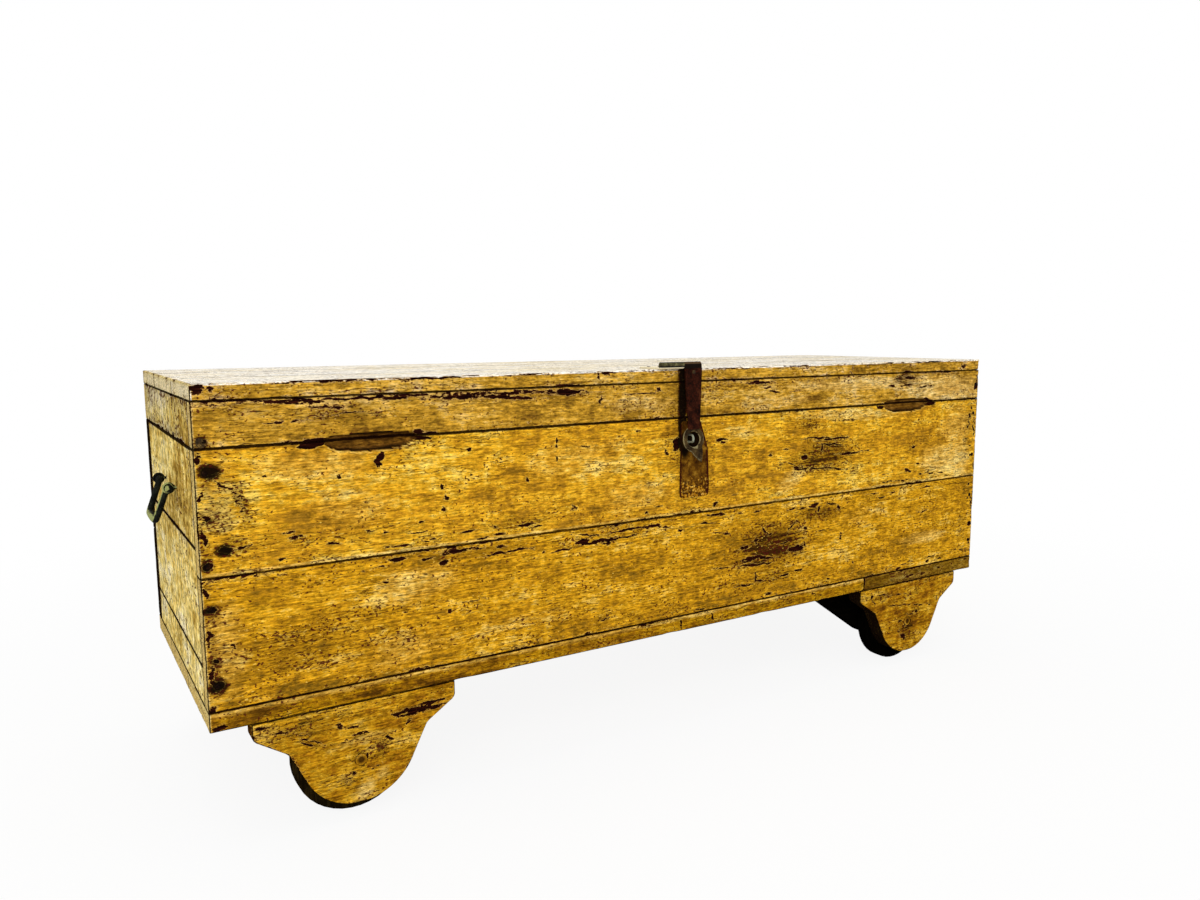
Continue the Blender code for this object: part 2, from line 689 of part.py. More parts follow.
def build_hasp(hinge, swing):
    """The hasp: a fixed leaf on the lid, a pin, and a tapering strap that ends in an iron eye."""
    half = STRAP_TOP_WIDTH / 2
    leaf_right = -half - SEAT_GAP
    leaf_left = leaf_right - HASP_LEAF_WIDTH
    reach = -HASP_LEAF_REACH

    leaf_corners = [(leaf_left, 0.0, 0.0), (leaf_right, 0.0, 0.0), (leaf_right, reach, HASP_LEAF_ROUNDING),
                    (leaf_left, reach, HASP_LEAF_ROUNDING)]
    fixed = leaf("hasp_leaf", leaf_corners, [], HASP_IRON, HASP_BARREL_RADIUS, HASP_PIN_RADIUS, "dark_iron")
    fixed.location = (0.0, HASP_AXIS_Y, HASP_AXIS_Z)
    fixed.rotation_euler = (math.pi / 2, 0.0, 0.0)
    carry(fixed, hinge)

    pin = add_piece("hasp_pin", cylinder_mesh("hasp_pin", HASP_PIN_RADIUS, half - leaf_left, "X"), "dark_iron")
    pin.location = ((half + leaf_left) / 2, HASP_AXIS_Y, HASP_AXIS_Z)
    carry(pin, hinge)

    end_right = STRAP_LEFT + STRAP_END_WIDTH
    strap_corners = [(-half, 0.0, 0.0), (half, 0.0, 0.0), (half, -STRAP_TAPER_START, STRAP_ROUNDING),
                     (end_right, -STRAP_LENGTH, STRAP_ROUNDING), (STRAP_LEFT, -STRAP_LENGTH, STRAP_ROUNDING)]
    strap = leaf("hasp_strap", strap_corners, [], HASP_IRON, HASP_BARREL_RADIUS, HASP_PIN_RADIUS, "rusty_iron")
    seat(strap, swing)

    hole = arc(EYE_MIDDLE_X, -EYE_DROP, EYE_HOLE_RADIUS, 0.0, 2 * math.pi)[:-1]
    eye = add_piece("hasp_eye", plate_mesh("hasp_eye", [eye_outline(), hole], EYE_THICKNESS), "rubbed_iron")
    eye.location = (0.0, eye_middle_offset(), 0.0)
    seat(eye, swing)


def eye_middle_offset():
    """How far in front of the barrel's axis the eye's middle plane lies, behind the strap."""
    strap_back = -HASP_BARREL_RADIUS + HASP_IRON
    return strap_back + SEAT_GAP + EYE_THICKNESS / 2


def eye_outline():
    """The eye: a tongue behind the strap, a round ring and a pointed tail, in one line round it."""
    half_tongue = EYE_TONGUE_WIDTH / 2
    neck = math.acos(half_tongue / EYE_RADIUS)
    spread = math.acos(EYE_RADIUS / EYE_TAIL_REACH)
    tail = Vector((EYE_MIDDLE_X + EYE_TAIL_REACH * math.cos(EYE_TAIL_ANGLE), 0.0,
                   -EYE_DROP + EYE_TAIL_REACH * math.sin(EYE_TAIL_ANGLE)))
    left_side = arc(EYE_MIDDLE_X, -EYE_DROP, EYE_RADIUS, math.pi - neck,
                    2 * math.pi + EYE_TAIL_ANGLE - spread)
    right_side = arc(EYE_MIDDLE_X, -EYE_DROP, EYE_RADIUS, EYE_TAIL_ANGLE + spread, neck)
    top_right = Vector((EYE_MIDDLE_X + half_tongue, 0.0, -EYE_TONGUE_TOP))
    top_left = Vector((EYE_MIDDLE_X - half_tongue, 0.0, -EYE_TONGUE_TOP))
    return [*left_side, tail, *right_side, top_right, top_left]


def build_staple(plank):
    """The staple that the eye drops over, driven through a backing plate into the front."""
    eye_back = HASP_AXIS_Y + (eye_middle_offset() + EYE_THICKNESS / 2) * math.cos(HASP_SET) \
        - (EYE_DROP - STAPLE_SPREAD) * math.sin(HASP_SET)
    nose = eye_back + STAPLE_TO_EYE_GAP + STAPLE_WIRE_RADIUS
    middle_x = EYE_MIDDLE_X + STAPLE_SIDE_STEP
    middle_z = HASP_AXIS_Z - EYE_DROP * math.cos(HASP_SET)
    tip = -HALF_DEPTH + STAPLE_BITE
    half = STAPLE_SPREAD / 2
    path = round_corners([((0.0, tip, half), 0.0), ((0.0, nose, half), STAPLE_BEND),
                          ((0.0, nose, -half), STAPLE_BEND), ((0.0, tip, -half), 0.0)], closed=False)
    staple = add_piece("staple", rod_mesh("staple", path, STAPLE_WIRE_RADIUS), "rubbed_iron")
    staple.location = (middle_x, 0.0, middle_z)

    bottom = SEAM - PLATE_TOP_BELOW_SEAM - PLATE_HEIGHT
    corners = [(PLATE_LEFT_EDGE + x_share * PLATE_WIDTH, bottom + z_share * PLATE_HEIGHT, PLATE_ROUNDING)
               for x_share, z_share in PLATE_CORNER_SHARES]
    backing = add_piece("hasp_backing_plate", plate_mesh("hasp_backing_plate", [flat_outline(corners)],
                                                         PLATE_THICKNESS), "rusty_iron")
    backing.location = (0.0, -HALF_DEPTH - SEAT_GAP - PLATE_THICKNESS / 2, 0.0)

    hole_length = 2 * (STAPLE_BITE + SEAT_GAP)
    for name, side in (("upper", 1), ("lower", -1)):
        hole = add_tool(f"staple_hole_{name}",
                        cylinder_mesh("staple_hole", STAPLE_WIRE_RADIUS + SEAT_GAP, hole_length, "Y"))
        hole.location = (middle_x, -HALF_DEPTH, middle_z + side * half)
        combine(backing, hole, "DIFFERENCE")
        combine(plank, hole, "DIFFERENCE")


def bail_path():
    """The bail's centre line and its swell: heads past the rings, thin necks in them, thicker bent
    arms and the thickest grip."""
    half_top = BAIL_TOP_WIDTH / 2
    half_grip = BAIL_GRIP_WIDTH / 2
    ring_half = RING_WIRE_RADIUS + SEAT_GAP
    head_start = HANDLE_EYE_SPACING / 2 + ring_half
    head_end = head_start + BAIL_HEAD_LENGTH
    corners = [
        ((0.0, head_start, 0.0), 0.0),
        ((0.0, half_top, 0.0), BAIL_BEND),
        ((0.0, half_grip, -BAIL_DROP), BAIL_BEND),
        ((0.0, -half_grip, -BAIL_DROP), BAIL_BEND),
        ((0.0, -half_top, 0.0), BAIL_BEND),
        ((0.0, -head_start, 0.0), 0.0),
    ]
    middle = round_corners(corners, closed=False)
    grip = len(middle) // 2
    shaped = [*middle[:grip], Vector((0.0, 0.0, -BAIL_DROP)), *middle[grip:]]
    swell = [BAIL_ARM_RADIUS / BAIL_WIRE_RADIUS] * len(shaped)
    swell[:2] = swell[-2:] = [1.0, 1.0]
    swell[grip] = BAIL_GRIP_RADIUS / BAIL_WIRE_RADIUS
    head = BAIL_HEAD_RADIUS / BAIL_WIRE_RADIUS
    near = Vector((0.0, head_end, 0.0))
    step = Vector((0.0, SWELL_STEP, 0.0))
    start = [near, shaped[0] + step]
    end = [-shaped[0] - step, -near]
    return [*start, *shaped, *end], [head, head, *swell, head, head]


def build_handle(name, side, plank):
    """An iron bail that hangs in two rings, whose shanks go through the end plank and are clinched."""
    axis_x = HALF_LENGTH + HANDLE_STANDOFF
    height = FLOOR_TO_BASE + HANDLE_HEIGHT
    facing = 0.0 if side > 0 else math.pi
    lean = Matrix.Rotation(facing, 4, "Z") @ Matrix.Rotation(-HANDLE_LEAN, 4, "Y")
    swing = pivot(f"{name}_handle_pivot", (side * axis_x, -HANDLE_FORWARD, height), lean.to_euler())
    path, swell = bail_path()
    bail = add_piece(f"{name}_handle_bail", rod_mesh("bail", path, BAIL_WIRE_RADIUS, swell), "dark_iron")
    seat(bail, swing)

    ring_radius = BAIL_WIRE_RADIUS + RING_CLEARANCE + RING_WIRE_RADIUS
    circle = arc(0.0, 0.0, ring_radius, 0.0, 2 * math.pi, RING_STEPS)[:-1]
    clinch = HANDLE_STANDOFF + BOARD_THICKNESS + SEAT_GAP + CLINCH_BEND
    shank = round_corners([((-ring_radius, 0.0, 0.0), 0.0), ((-clinch, 0.0, 0.0), CLINCH_BEND),
                           ((-clinch, 0.0, -CLINCH_LENGTH), 0.0)], closed=False)
    for row, side_y in (("front", -1), ("back", 1)):
        ring_y = side_y * HANDLE_EYE_SPACING / 2 - HANDLE_FORWARD
        ring = add_piece(f"{name}_handle_ring_{row}", rod_mesh("ring", circle, RING_WIRE_RADIUS, closed=True),
                         "dark_iron")
        tang = add_tool(f"{name}_handle_shank_{row}", rod_mesh("shank", shank, RING_WIRE_RADIUS))
        combine(ring, tang, "UNION")
        seat(tang, ring)
        ring.location = (side * axis_x, ring_y, height)
        ring.rotation_euler = (0.0, 0.0, facing)
        hole = add_tool(f"{name}_handle_hole_{row}",
                        cylinder_mesh("handle_hole", RING_WIRE_RADIUS + SEAT_GAP,
                                      2 * (BOARD_THICKNESS + CUT_OVERRUN), "X"))
        hole.location = (side * HALF_LENGTH, ring_y, height)
        combine(plank, hole, "DIFFERENCE")


clear_scene()
chest = new_collection("wheeled_chest")
tools = new_collection("cutters")

build_base()
long_planks = build_long_walls()
end_planks = build_end_walls()
build_corner_posts()
build_running_gear()

lid_hinge = pivot("lid_pivot", (0.0, HINGE_AXIS_Y, SEAM))
lid_front = build_lid(lid_hinge)
cut_finger_scoops(lid_front, long_planks["front", "upper"])
build_lid_hinges(lid_hinge)

hasp_swing = pivot("hasp_pivot", (0.0, HASP_AXIS_Y, HASP_AXIS_Z), (-HASP_SET, 0.0, 0.0), lid_hinge)
build_hasp(lid_hinge, hasp_swing)
build_staple(long_planks["front", "upper"])
for end_name, end_side in (("left", -1), ("right", 1)):
    build_handle(end_name, end_side, end_planks[end_name, "upper"])
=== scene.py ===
"""The looks of an old plank chest on wheels: mustard milk paint on hardwood, and forged iron.

Lengths are in metres in the CAD's frame. The origin is on the floor under the middle of the
carcass, X runs along the chest, -Y is the front with the hasp, and Z is up.
"""
import math

import bpy
import numpy as np
from mathutils import Matrix, Vector


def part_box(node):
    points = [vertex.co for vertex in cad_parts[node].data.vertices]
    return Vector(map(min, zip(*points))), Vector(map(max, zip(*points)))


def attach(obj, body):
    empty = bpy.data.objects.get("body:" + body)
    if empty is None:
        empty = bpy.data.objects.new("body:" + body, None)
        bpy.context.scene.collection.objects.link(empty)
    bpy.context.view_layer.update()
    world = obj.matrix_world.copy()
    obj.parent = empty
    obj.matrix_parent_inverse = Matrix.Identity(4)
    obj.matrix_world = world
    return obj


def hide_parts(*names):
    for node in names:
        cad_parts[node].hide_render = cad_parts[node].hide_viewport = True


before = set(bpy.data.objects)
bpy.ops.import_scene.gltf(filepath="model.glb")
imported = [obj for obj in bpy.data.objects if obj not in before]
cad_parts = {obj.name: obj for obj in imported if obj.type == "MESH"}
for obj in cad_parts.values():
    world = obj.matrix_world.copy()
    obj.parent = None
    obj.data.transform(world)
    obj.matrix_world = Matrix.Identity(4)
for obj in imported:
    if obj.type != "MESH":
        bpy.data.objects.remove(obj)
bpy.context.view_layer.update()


# Where the chest is looked at from
# The photographer stood left of the hasp, 1.2 m before the front, with the lens just over the lid.
camera_place = Vector((-0.9124, -1.4303, 0.6656))
look_right, look_down, lean = math.radians(32.04), math.radians(7.348), math.radians(-0.255)
ahead = Vector((math.sin(look_right) * math.cos(look_down), math.cos(look_right) * math.cos(look_down),
                -math.sin(look_down)))
level = ahead.cross(Vector((0, 0, 1))).normalized()
overhead = level.cross(ahead)
across = level * math.cos(lean) + overhead * math.sin(lean)
upward = overhead * math.cos(lean) - level * math.sin(lean)
camera = bpy.data.objects.new("camera", bpy.data.cameras.new("camera"))
camera.data.sensor_width = 36.0
camera.data.lens = 27.40
camera.data.clip_start, camera.data.clip_end = 0.01, 100.0
camera.matrix_world = Matrix((across, upward, -ahead)).transposed().to_4x4()
camera.location = camera_place
bpy.context.scene.collection.objects.link(camera)
bpy.context.scene.camera = camera
bpy.context.scene.view_settings.view_transform = "Standard"


# Studio
# A pale floor and three large soft lamps. The floor and the world show white to the camera and
# in reflections, and the floor keeps part of the chest's shadow near it.
def fill(tree, item, inputs):
    """Gives a node its inputs, by name or in their order, as values or as links."""
    for key, value in inputs.items() if isinstance(inputs, dict) else enumerate(inputs):
        if isinstance(value, bpy.types.NodeSocket):
            tree.links.new(value, item.inputs[key])
        else:
            item.inputs[key].default_value = value


def node(tree, kind, inputs=(), stops=(), give=0, **settings):
    """Adds a node with its settings, its inputs and its ramp's stops. It gives back one of the
    node's outputs, or the node itself where give is None."""
    item = tree.nodes.new("ShaderNode" + kind)
    for key, value in settings.items():
        setattr(item, key, value)
    fill(tree, item, inputs)
    if stops:
        marks = item.color_ramp.elements
        while len(marks) < len(stops):
            marks.new(1.0)
        for mark, (position, tint) in zip(marks, stops):
            mark.position, mark.color = position, tint
    return item if give is None else item.outputs[give]


def tint(code):
    """Linear RGBA of an sRGB hex colour, by the sRGB curve: a straight foot and a power of 2.4."""
    parts = np.array([int(code[at:at + 2], 16) for at in (1, 3, 5)]) / 255
    linear = np.where(parts <= 0.04045, parts / 12.92, ((parts + 0.055) / 1.055) ** 2.4)
    return (*linear.tolist(), 1.0)


def lamp(name, place, target, size, power):
    """A square soft lamp of a size in metres, aimed at a target."""
    light = bpy.data.lights.new(name, "AREA")
    light.size, light.energy = size, power
    holder = bpy.data.objects.new(name, light)
    holder.location = place
    holder.rotation_euler = (Vector(target) - Vector(place)).to_track_quat("-Z", "Y").to_euler()
    bpy.context.scene.collection.objects.link(holder)


def white_to_the_eye(tree):
    """1 for the rays of the camera, of reflections and of glass, and 0 for what lights the chest."""
    rays = node(tree, "LightPath", give=None).outputs
    seen = node(tree, "Math", (rays["Is Camera Ray"], rays["Is Glossy Ray"]), operation="MAXIMUM")
    return node(tree, "Math", (seen, rays["Is Transmission Ray"]), operation="MAXIMUM")


def new_finish(name):
    """A new material, its node tree, its shader, and the place of each point in metres."""
    material = bpy.data.materials.new(name)
    material.use_nodes = True
    tree = material.node_tree
    return material, tree, tree.nodes["Principled BSDF"], node(tree, "TexCoord", give="Object")


# The left lamp is the main light; the right one and the one above only soften its shadows
lamp("window_left", (-2.6, -3.4, 2.6), (0.0, -0.1, 0.3), 3.0, 112.0)
lamp("window_right", (2.6, -3.0, 1.8), (0.2, 0.0, 0.3), 3.0, 34.0)
lamp("skylight", (-0.4, 0.4, 3.6), (0.0, 0.0, 0.3), 3.2, 46.0)

world = bpy.data.worlds.new("studio")
bpy.context.scene.world = world
world.use_nodes = True
sky = world.node_tree
strength = node(sky, "MapRange", {0: white_to_the_eye(sky), 3: 0.46, 4: 1.0})
fill(sky, sky.nodes["Background"], {"Color": (1.0, 1.0, 1.0, 1.0), "Strength": strength})

floor_mesh = bpy.data.meshes.new("floor")
floor_mesh.from_pydata([(-30, -30, 0), (30, -30, 0), (30, 30, 0), (-30, 30, 0)], [], [(0, 1, 2, 3)])
floor = bpy.data.objects.new("floor", floor_mesh)
bpy.context.scene.collection.objects.link(floor)
floor_paint, tree, matt, place = new_finish("floor_paint")
fill(tree, matt, {"Base Color": tint("#eeeeec"), "Roughness": 0.9, "Specular IOR Level": 0.0})
# Near the chest a tenth of the floor's own shading shows, which is its shadow, and none 2.2 m out
reach = node(tree, "VectorMath", (place,), operation="LENGTH", give="Value")
fade = node(tree, "MapRange", (reach, 0.6, 2.2, 0.9, 1.0), interpolation_type="SMOOTHSTEP")
share = node(tree, "Math", (white_to_the_eye(tree), fade), operation="MULTIPLY")
glow = node(tree, "Emission", {"Color": (1.0, 1.0, 1.0, 1.0), "Strength": 1.0})
both = node(tree, "MixShader", (share, matt.outputs[0], glow))
fill(tree, tree.nodes["Material Output"], {"Surface": both})
floor_mesh.materials.append(floor_paint)


# Front planks
# Two sawn hardwood planks a hand and a half wide, nailed to the end boards and brushed with
# mustard milk paint. The paint has chipped along the seams and gone olive where hands and dirt
# stayed. The marks of both are placed after the photograph, in mm.
def blotches(places, size, seed):
    """A smooth random field from 0 to 1. Random values sit on a grid of cells of a size (x, y, z),
    and each place blends its cell's eight corners by the smooth step 3t^2 - 2t^3 along each axis."""
    values = np.random.default_rng(seed).random((32, 32, 32))
    scaled = places / np.asarray(size)
    cell = np.floor(scaled).astype(int)
    step = scaled - cell
    step = step * step * (3 - 2 * step)
    total = np.zeros(len(places))
    for corner in np.ndindex(2, 2, 2):
        weight = np.prod(np.where(np.array(corner, bool), step, 1 - step), axis=1)
        at = (cell + corner) % 32
        total += weight * values[at[:, 0], at[:, 1], at[:, 2]]
    return total


def board_lattice(low, high, step):
    """Points and quads on a box's six faces. Along each axis the grid's lines are step apart,
    and closer within 5 mm of the edges; the faces share the points on their common edges."""
    lines = []
    for axis in range(3):
        length = high[axis] - low[axis]
        edge = np.array([0.0, 0.0007, 0.0016, 0.003, 0.005])
        count = max(1, round((length - 2 * edge[-1]) / step[axis]))
        middle = np.linspace(edge[-1], length - edge[-1], count + 1)
        lines.append(low[axis] + np.concatenate([edge[:-1], middle, length - edge[-2::-1]]))
    counts = [len(line) for line in lines]
    faces = []
    for axis in range(3):
        first, second = (axis + 1) % 3, (axis + 2) % 3
        for side in (0, counts[axis] - 1):
            index = np.zeros((counts[first], counts[second], 3), int)
            index[..., axis] = side
            index[..., first] = np.arange(counts[first])[:, None]
            index[..., second] = np.arange(counts[second])[None, :]
            key = (index[..., 0] * counts[1] + index[..., 1]) * counts[2] + index[..., 2]
            quads = np.stack([key[:-1, :-1], key[1:, :-1], key[1:, 1:], key[:-1, 1:]], -1).reshape(-1, 4)
            faces.append(quads if side else quads[:, ::-1])
    keys, quads = np.unique(np.concatenate(faces), return_inverse=True)
    points = np.stack([lines[0][keys // (counts[1] * counts[2])], lines[1][keys // counts[2] % counts[1]],
                       lines[2][keys % counts[2]]], 1)
    return points, quads.reshape(-1, 4)


def edge_distance(points, low, high):
    """How far each point of a box's surface lies from the box's nearest edge: the second
    smallest of its distances to the six faces."""
    return np.sort(np.minimum(points - low, high - points), axis=1)[:, 1]


def worn_down(points, low, high, grain, seed, nick):
    """Rounds a box's edges. Each point goes to the sphere of a local radius about the nearest
    point of the box shrunk by that radius. The radius is 1 mm and, where a random field along
    the grain is high, up to nick more, which leaves knocks in the edges."""
    size = np.full(3, 0.013)
    size[grain] = 0.034
    knock = blotches(points, size, seed)
    fine = blotches(points, size / 4, seed + 1)
    radius = (0.001 + nick * np.clip((knock - 0.68) / 0.25, 0, 1) + 0.0009 * fine)[:, None]
    centre, half = (low + high) / 2, (high - low) / 2
    out = points - centre
    core = np.clip(out, radius - half, half - radius)
    spoke = out - core
    return centre + core + spoke / np.linalg.norm(spoke, axis=1)[:, None] * radius


def marked(points, marks, seed, axis=0):
    """How strongly the listed marks show at each point. A mark (x, height above the base's
    underside, half length, half height, strength or else 1, tilt in degrees or else 0), in mm, is
    an ellipse that fades from its middle to its rim. Its outline wanders by a random field, and
    less in the strongest marks: the painted shadow left of the hasp's strap and a dark strip along
    the back of the left end. On an end, y stands for x."""
    along_mm, height_mm = points[:, axis] * 1000, (points[:, 2] - base_underside) * 1000
    sideways = 9 * (blotches(points, (0.02, 0.02, 0.005), seed + 1) - 0.5)
    upright = 5 * (blotches(points, (0.012, 0.02, 0.006), seed) - 0.5)
    shown = np.zeros(len(points))
    for mark in marks:
        middle, level_mm, half_long, half_high, weight, tilt = mark + (1, 0)[len(mark) - 4:]
        turn = math.radians(tilt)
        wander = 0.12 if weight > 2.9 else 1
        x, height = along_mm + sideways * wander - middle, height_mm + upright * wander - level_mm
        along = (x * math.cos(turn) + height * math.sin(turn)) / max(half_long, 2.5)
        over = (height * math.cos(turn) - x * math.sin(turn)) / max(half_high, 1.5)
        shown = np.maximum(shown, weight * np.clip(1.45 - np.hypot(along, over), 0, 1))
    return shown


def new_piece(name, body, points, quads, finish):
    """A smooth piece of a body from points and from quads that face outwards."""
    mesh = bpy.data.meshes.new(name)
    mesh.vertices.add(len(points))
    mesh.vertices.foreach_set("co", points.astype(np.float32).ravel())
    mesh.loops.add(quads.size)
    mesh.loops.foreach_set("vertex_index", quads.astype(np.int32).ravel())
    mesh.polygons.add(len(quads))
    mesh.polygons.foreach_set("loop_start", np.arange(0, quads.size, 4, dtype=np.int32))
    mesh.update(calc_edges=True)
    mesh.validate()
    mesh.shade_smooth()
    mesh.materials.append(finish)
    piece = bpy.data.objects.new(name, mesh)
    bpy.context.scene.collection.objects.link(piece)
    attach(piece, body)
    return piece


def streaks(tree, place, scale, shift, detail=4.0, rough=0.5):
    """Cloudy noise round 0.5. scale is its number of cells to the metre along each axis."""
    where = node(tree, "Mapping", {0: place, 1: shift, 3: scale})
    return node(tree, "TexNoise", {"Vector": where, "Scale": 1.0, "Detail": detail, "Roughness": rough})


def milk_paint(name, grain, tones, bleached, shift, filth="#66470c", broad=1.0):
    """Brittle milk paint brushed thin on sawn hardwood: flat, cloudy and flecked, with olive dirt
    rubbed into it and chips down to the dark wood that have pale lifted rims. Patterns are in mm
    along and across the grain, and broad times coarser along Y; tones run from the paint's
    dirtiest to its cleanest."""
    material, tree, shader, place = new_finish(name)
    wear = node(tree, "Attribute", attribute_name="wear", give=None).outputs
    parts = node(tree, "SeparateColor", (wear["Color"],), give=None).outputs
    field = dict(zip(("chipped", "grimy", "faded"), parts))
    field["crease"] = node(tree, "Attribute", attribute_name="crease", give="Fac")
    # Each field's length along the grain and width over it in mm, its detail and its roughness
    for label, along, over, detail, rough in (
            ("cloud", 200, 74, 2, 0.5), ("smudge", 58, 24, 4, 0.62), ("mottle", 17, 7, 5, 0.72),
            ("streak", 80, 4.2, 4, 0.62), ("hair", 34, 2.0, 4, 0.68), ("flake", 9.5, 3.9, 5, 0.7),
            ("grit", 8.5, 2.4, 4, 0.72), ("brush", 14, 62, 3, 0.6), ("speck", 5.0, 3.0, 1, 0.5),
            ("crack", 80, 9, 4, 0.6)):
        scale = [1000 / over] * 3
        scale[grain] = 1000 / along
        scale[1] /= broad
        field[label] = streaks(tree, place, scale, (shift * 3.7, shift * 5.1, shift * 2.3), detail, rough)

    def share_of(start, end, low, high, **weights):
        """The weighted sum of named fields, then its place between start and end as a share from
        low to high."""
        value = 0.0
        for label, weight in weights.items():
            value = node(tree, "Math", (field[label], weight, value), operation="MULTIPLY_ADD")
        return node(tree, "MapRange", (value, start, end, low, high))

    tone = share_of(0, 1, 0, 1, cloud=0.24, smudge=0.25, streak=0.13, mottle=0.26, brush=0.12)
    ramps = {}
    for label, value, steps, colours in (
            ("paint", tone, (0.42, 0.465, 0.5, 0.535, 0.58), tones),
            ("pale", tone, (0.44, 0.5, 0.56), bleached),
            ("dry", tone, (0.44, 0.5, 0.57), ("#3d240c", "#6a4516", "#916628")),
            ("dirt", field["grit"], (0.4, 0.52, 0.64), ("#180c04", "#301b08", "#523408")),
            ("wood", field["hair"], (0.4, 0.54, 0.7), ("#0e0404", "#240c07", "#441a0e"))):
        ramps[label] = node(tree, "ValToRGB", (value,),
                            stops=[(at, tint(code)) for at, code in zip(steps, colours)])
    # Fine lines of the grain, which darken and lighten the tone
    grain_light = share_of(0.39, 0.61, 0.36, 1.56, hair=0.42, grit=0.58)
    # Hair splits run where a stretched field crosses its middle; chips follow the board's own wear
    near_line = node(tree, "Math", (field["crack"], 0.5), operation="SUBTRACT")
    field["line"] = node(tree, "Math", (near_line,), operation="ABSOLUTE")
    here = share_of(0.5, 0.58, 0, 0.9, smudge=0.5, cloud=0.5, grimy=0.15)
    split = share_of(0.004, 0.013, 1, 0, line=1.0)
    field["split"] = node(tree, "Math", (split, here), operation="MULTIPLY")
    field["fleck"] = share_of(0.985, 1.02, 0, 0.92, speck=1.0, smudge=0.6, grimy=0.1)
    loss = {"chipped": 1.0, "flake": 2.4, "smudge": 0.6, "grimy": 0.05}
    field["bare"] = share_of(2.12, 2.22, 0, 1, **loss)

    # In order: bleached paint, its palest skin, the grain, olive dirt, crumbs of dirt, clean spots,
    # red-brown flecks, splits, the pale and then the dark rim of a chip, the bare wood in it, the
    # sides never painted with their grain, black grime, and painted shadow in the joints. The olive
    # dirt and the black grime also lay the painted shade and shadow that the grime channel carries
    shown = ramps["paint"]
    for kind, colour, share in (
            ("MIX", ramps["pale"], share_of(1.15, 1.85, 0, 0.95, faded=1.0, smudge=1.2, mottle=0.7)),
            ("MIX", tint("#dfc884"), share_of(1.9, 2.7, 0, 0.92, faded=1.0, smudge=0.6)),
            ("MULTIPLY", grain_light, 1.0),
            ("MIX", tint(filth), share_of(1.5, 2.5, 0, 0.78, grimy=1.0, smudge=1.2, mottle=0.6, brush=0.5)),
            ("MIX", ramps["dirt"],
             share_of(2.2, 2.28, 0, 0.93, grimy=0.6, flake=1.0, streak=1.8, mottle=0.3)),
            ("MIX", tint(tones[4]), share_of(0.05, 0.1, 0.8, 0, speck=1.0, smudge=-0.4)),
            ("MIX", tint("#4c1a10"), field["fleck"]),
            ("MIX", tint("#42180e"), field["split"]),
            ("MIX", tint(tones[4]), share_of(1.92, 2.04, 0, 0.75, **loss)),
            ("MIX", tint("#5e2212"), share_of(2.05, 2.1, 0, 0.9, **loss)),
            ("MIX", ramps["wood"], field["bare"]),
            ("MIX", ramps["dry"], wear["Alpha"]),
            ("MULTIPLY", grain_light, wear["Alpha"]),
            ("MIX", tint("#120d06"), share_of(1.5, 2.4, 0, 0.95, grimy=1.0, mottle=0.5)),
            ("MIX", tint("#140603"), share_of(2.6, 3.5, 0.97, 0, crease=1.0, flake=2.4, smudge=1.0))):
        shown = node(tree, "Mix", {0: share, 6: shown, 7: colour}, data_type="RGBA", blend_type=kind, give=2)

    gloss = share_of(0.38, 0.62, 0.46, 0.66, smudge=1.0)
    gloss = node(tree, "Mix", {0: field["bare"], 2: gloss, 3: 0.85})
    relief = share_of(-3, 3, -3, 3, hair=0.9, grit=0.5, mottle=1.2, bare=-1.0, split=-0.9, fleck=-0.7)
    bump = node(tree, "Bump", {"Strength": 0.8, "Distance": 0.0008, "Height": relief})
    fill(tree, shader, {"Base Color": shown, "Roughness": gloss, "Specular IOR Level": 0.0, "Normal": bump})
    return material


base_underside = float(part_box("base_board_front_long")[0][2])
front_face = float(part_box("front_plank_upper")[0][1])
lid_seam = float(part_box("front_plank_upper")[1][2])
lid_top_height, high_end = float(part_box("lid_top_front")[1][2]), float(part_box("lid_top_front")[1][0])
end_grain = 0.748
scoop_out, scoop_half, scoop_depth = 0.530, 0.0635, 0.012
upper_tones = ("#8c6418", "#b4801a", "#d0991e", "#dfab2c", "#ecc656")
lower_tones = ("#7c5a14", "#a47414", "#c28c16", "#d6a020", "#e8bc50")
mustard_bleached = ("#b98c32", "#d6aa4c", "#e8c872")


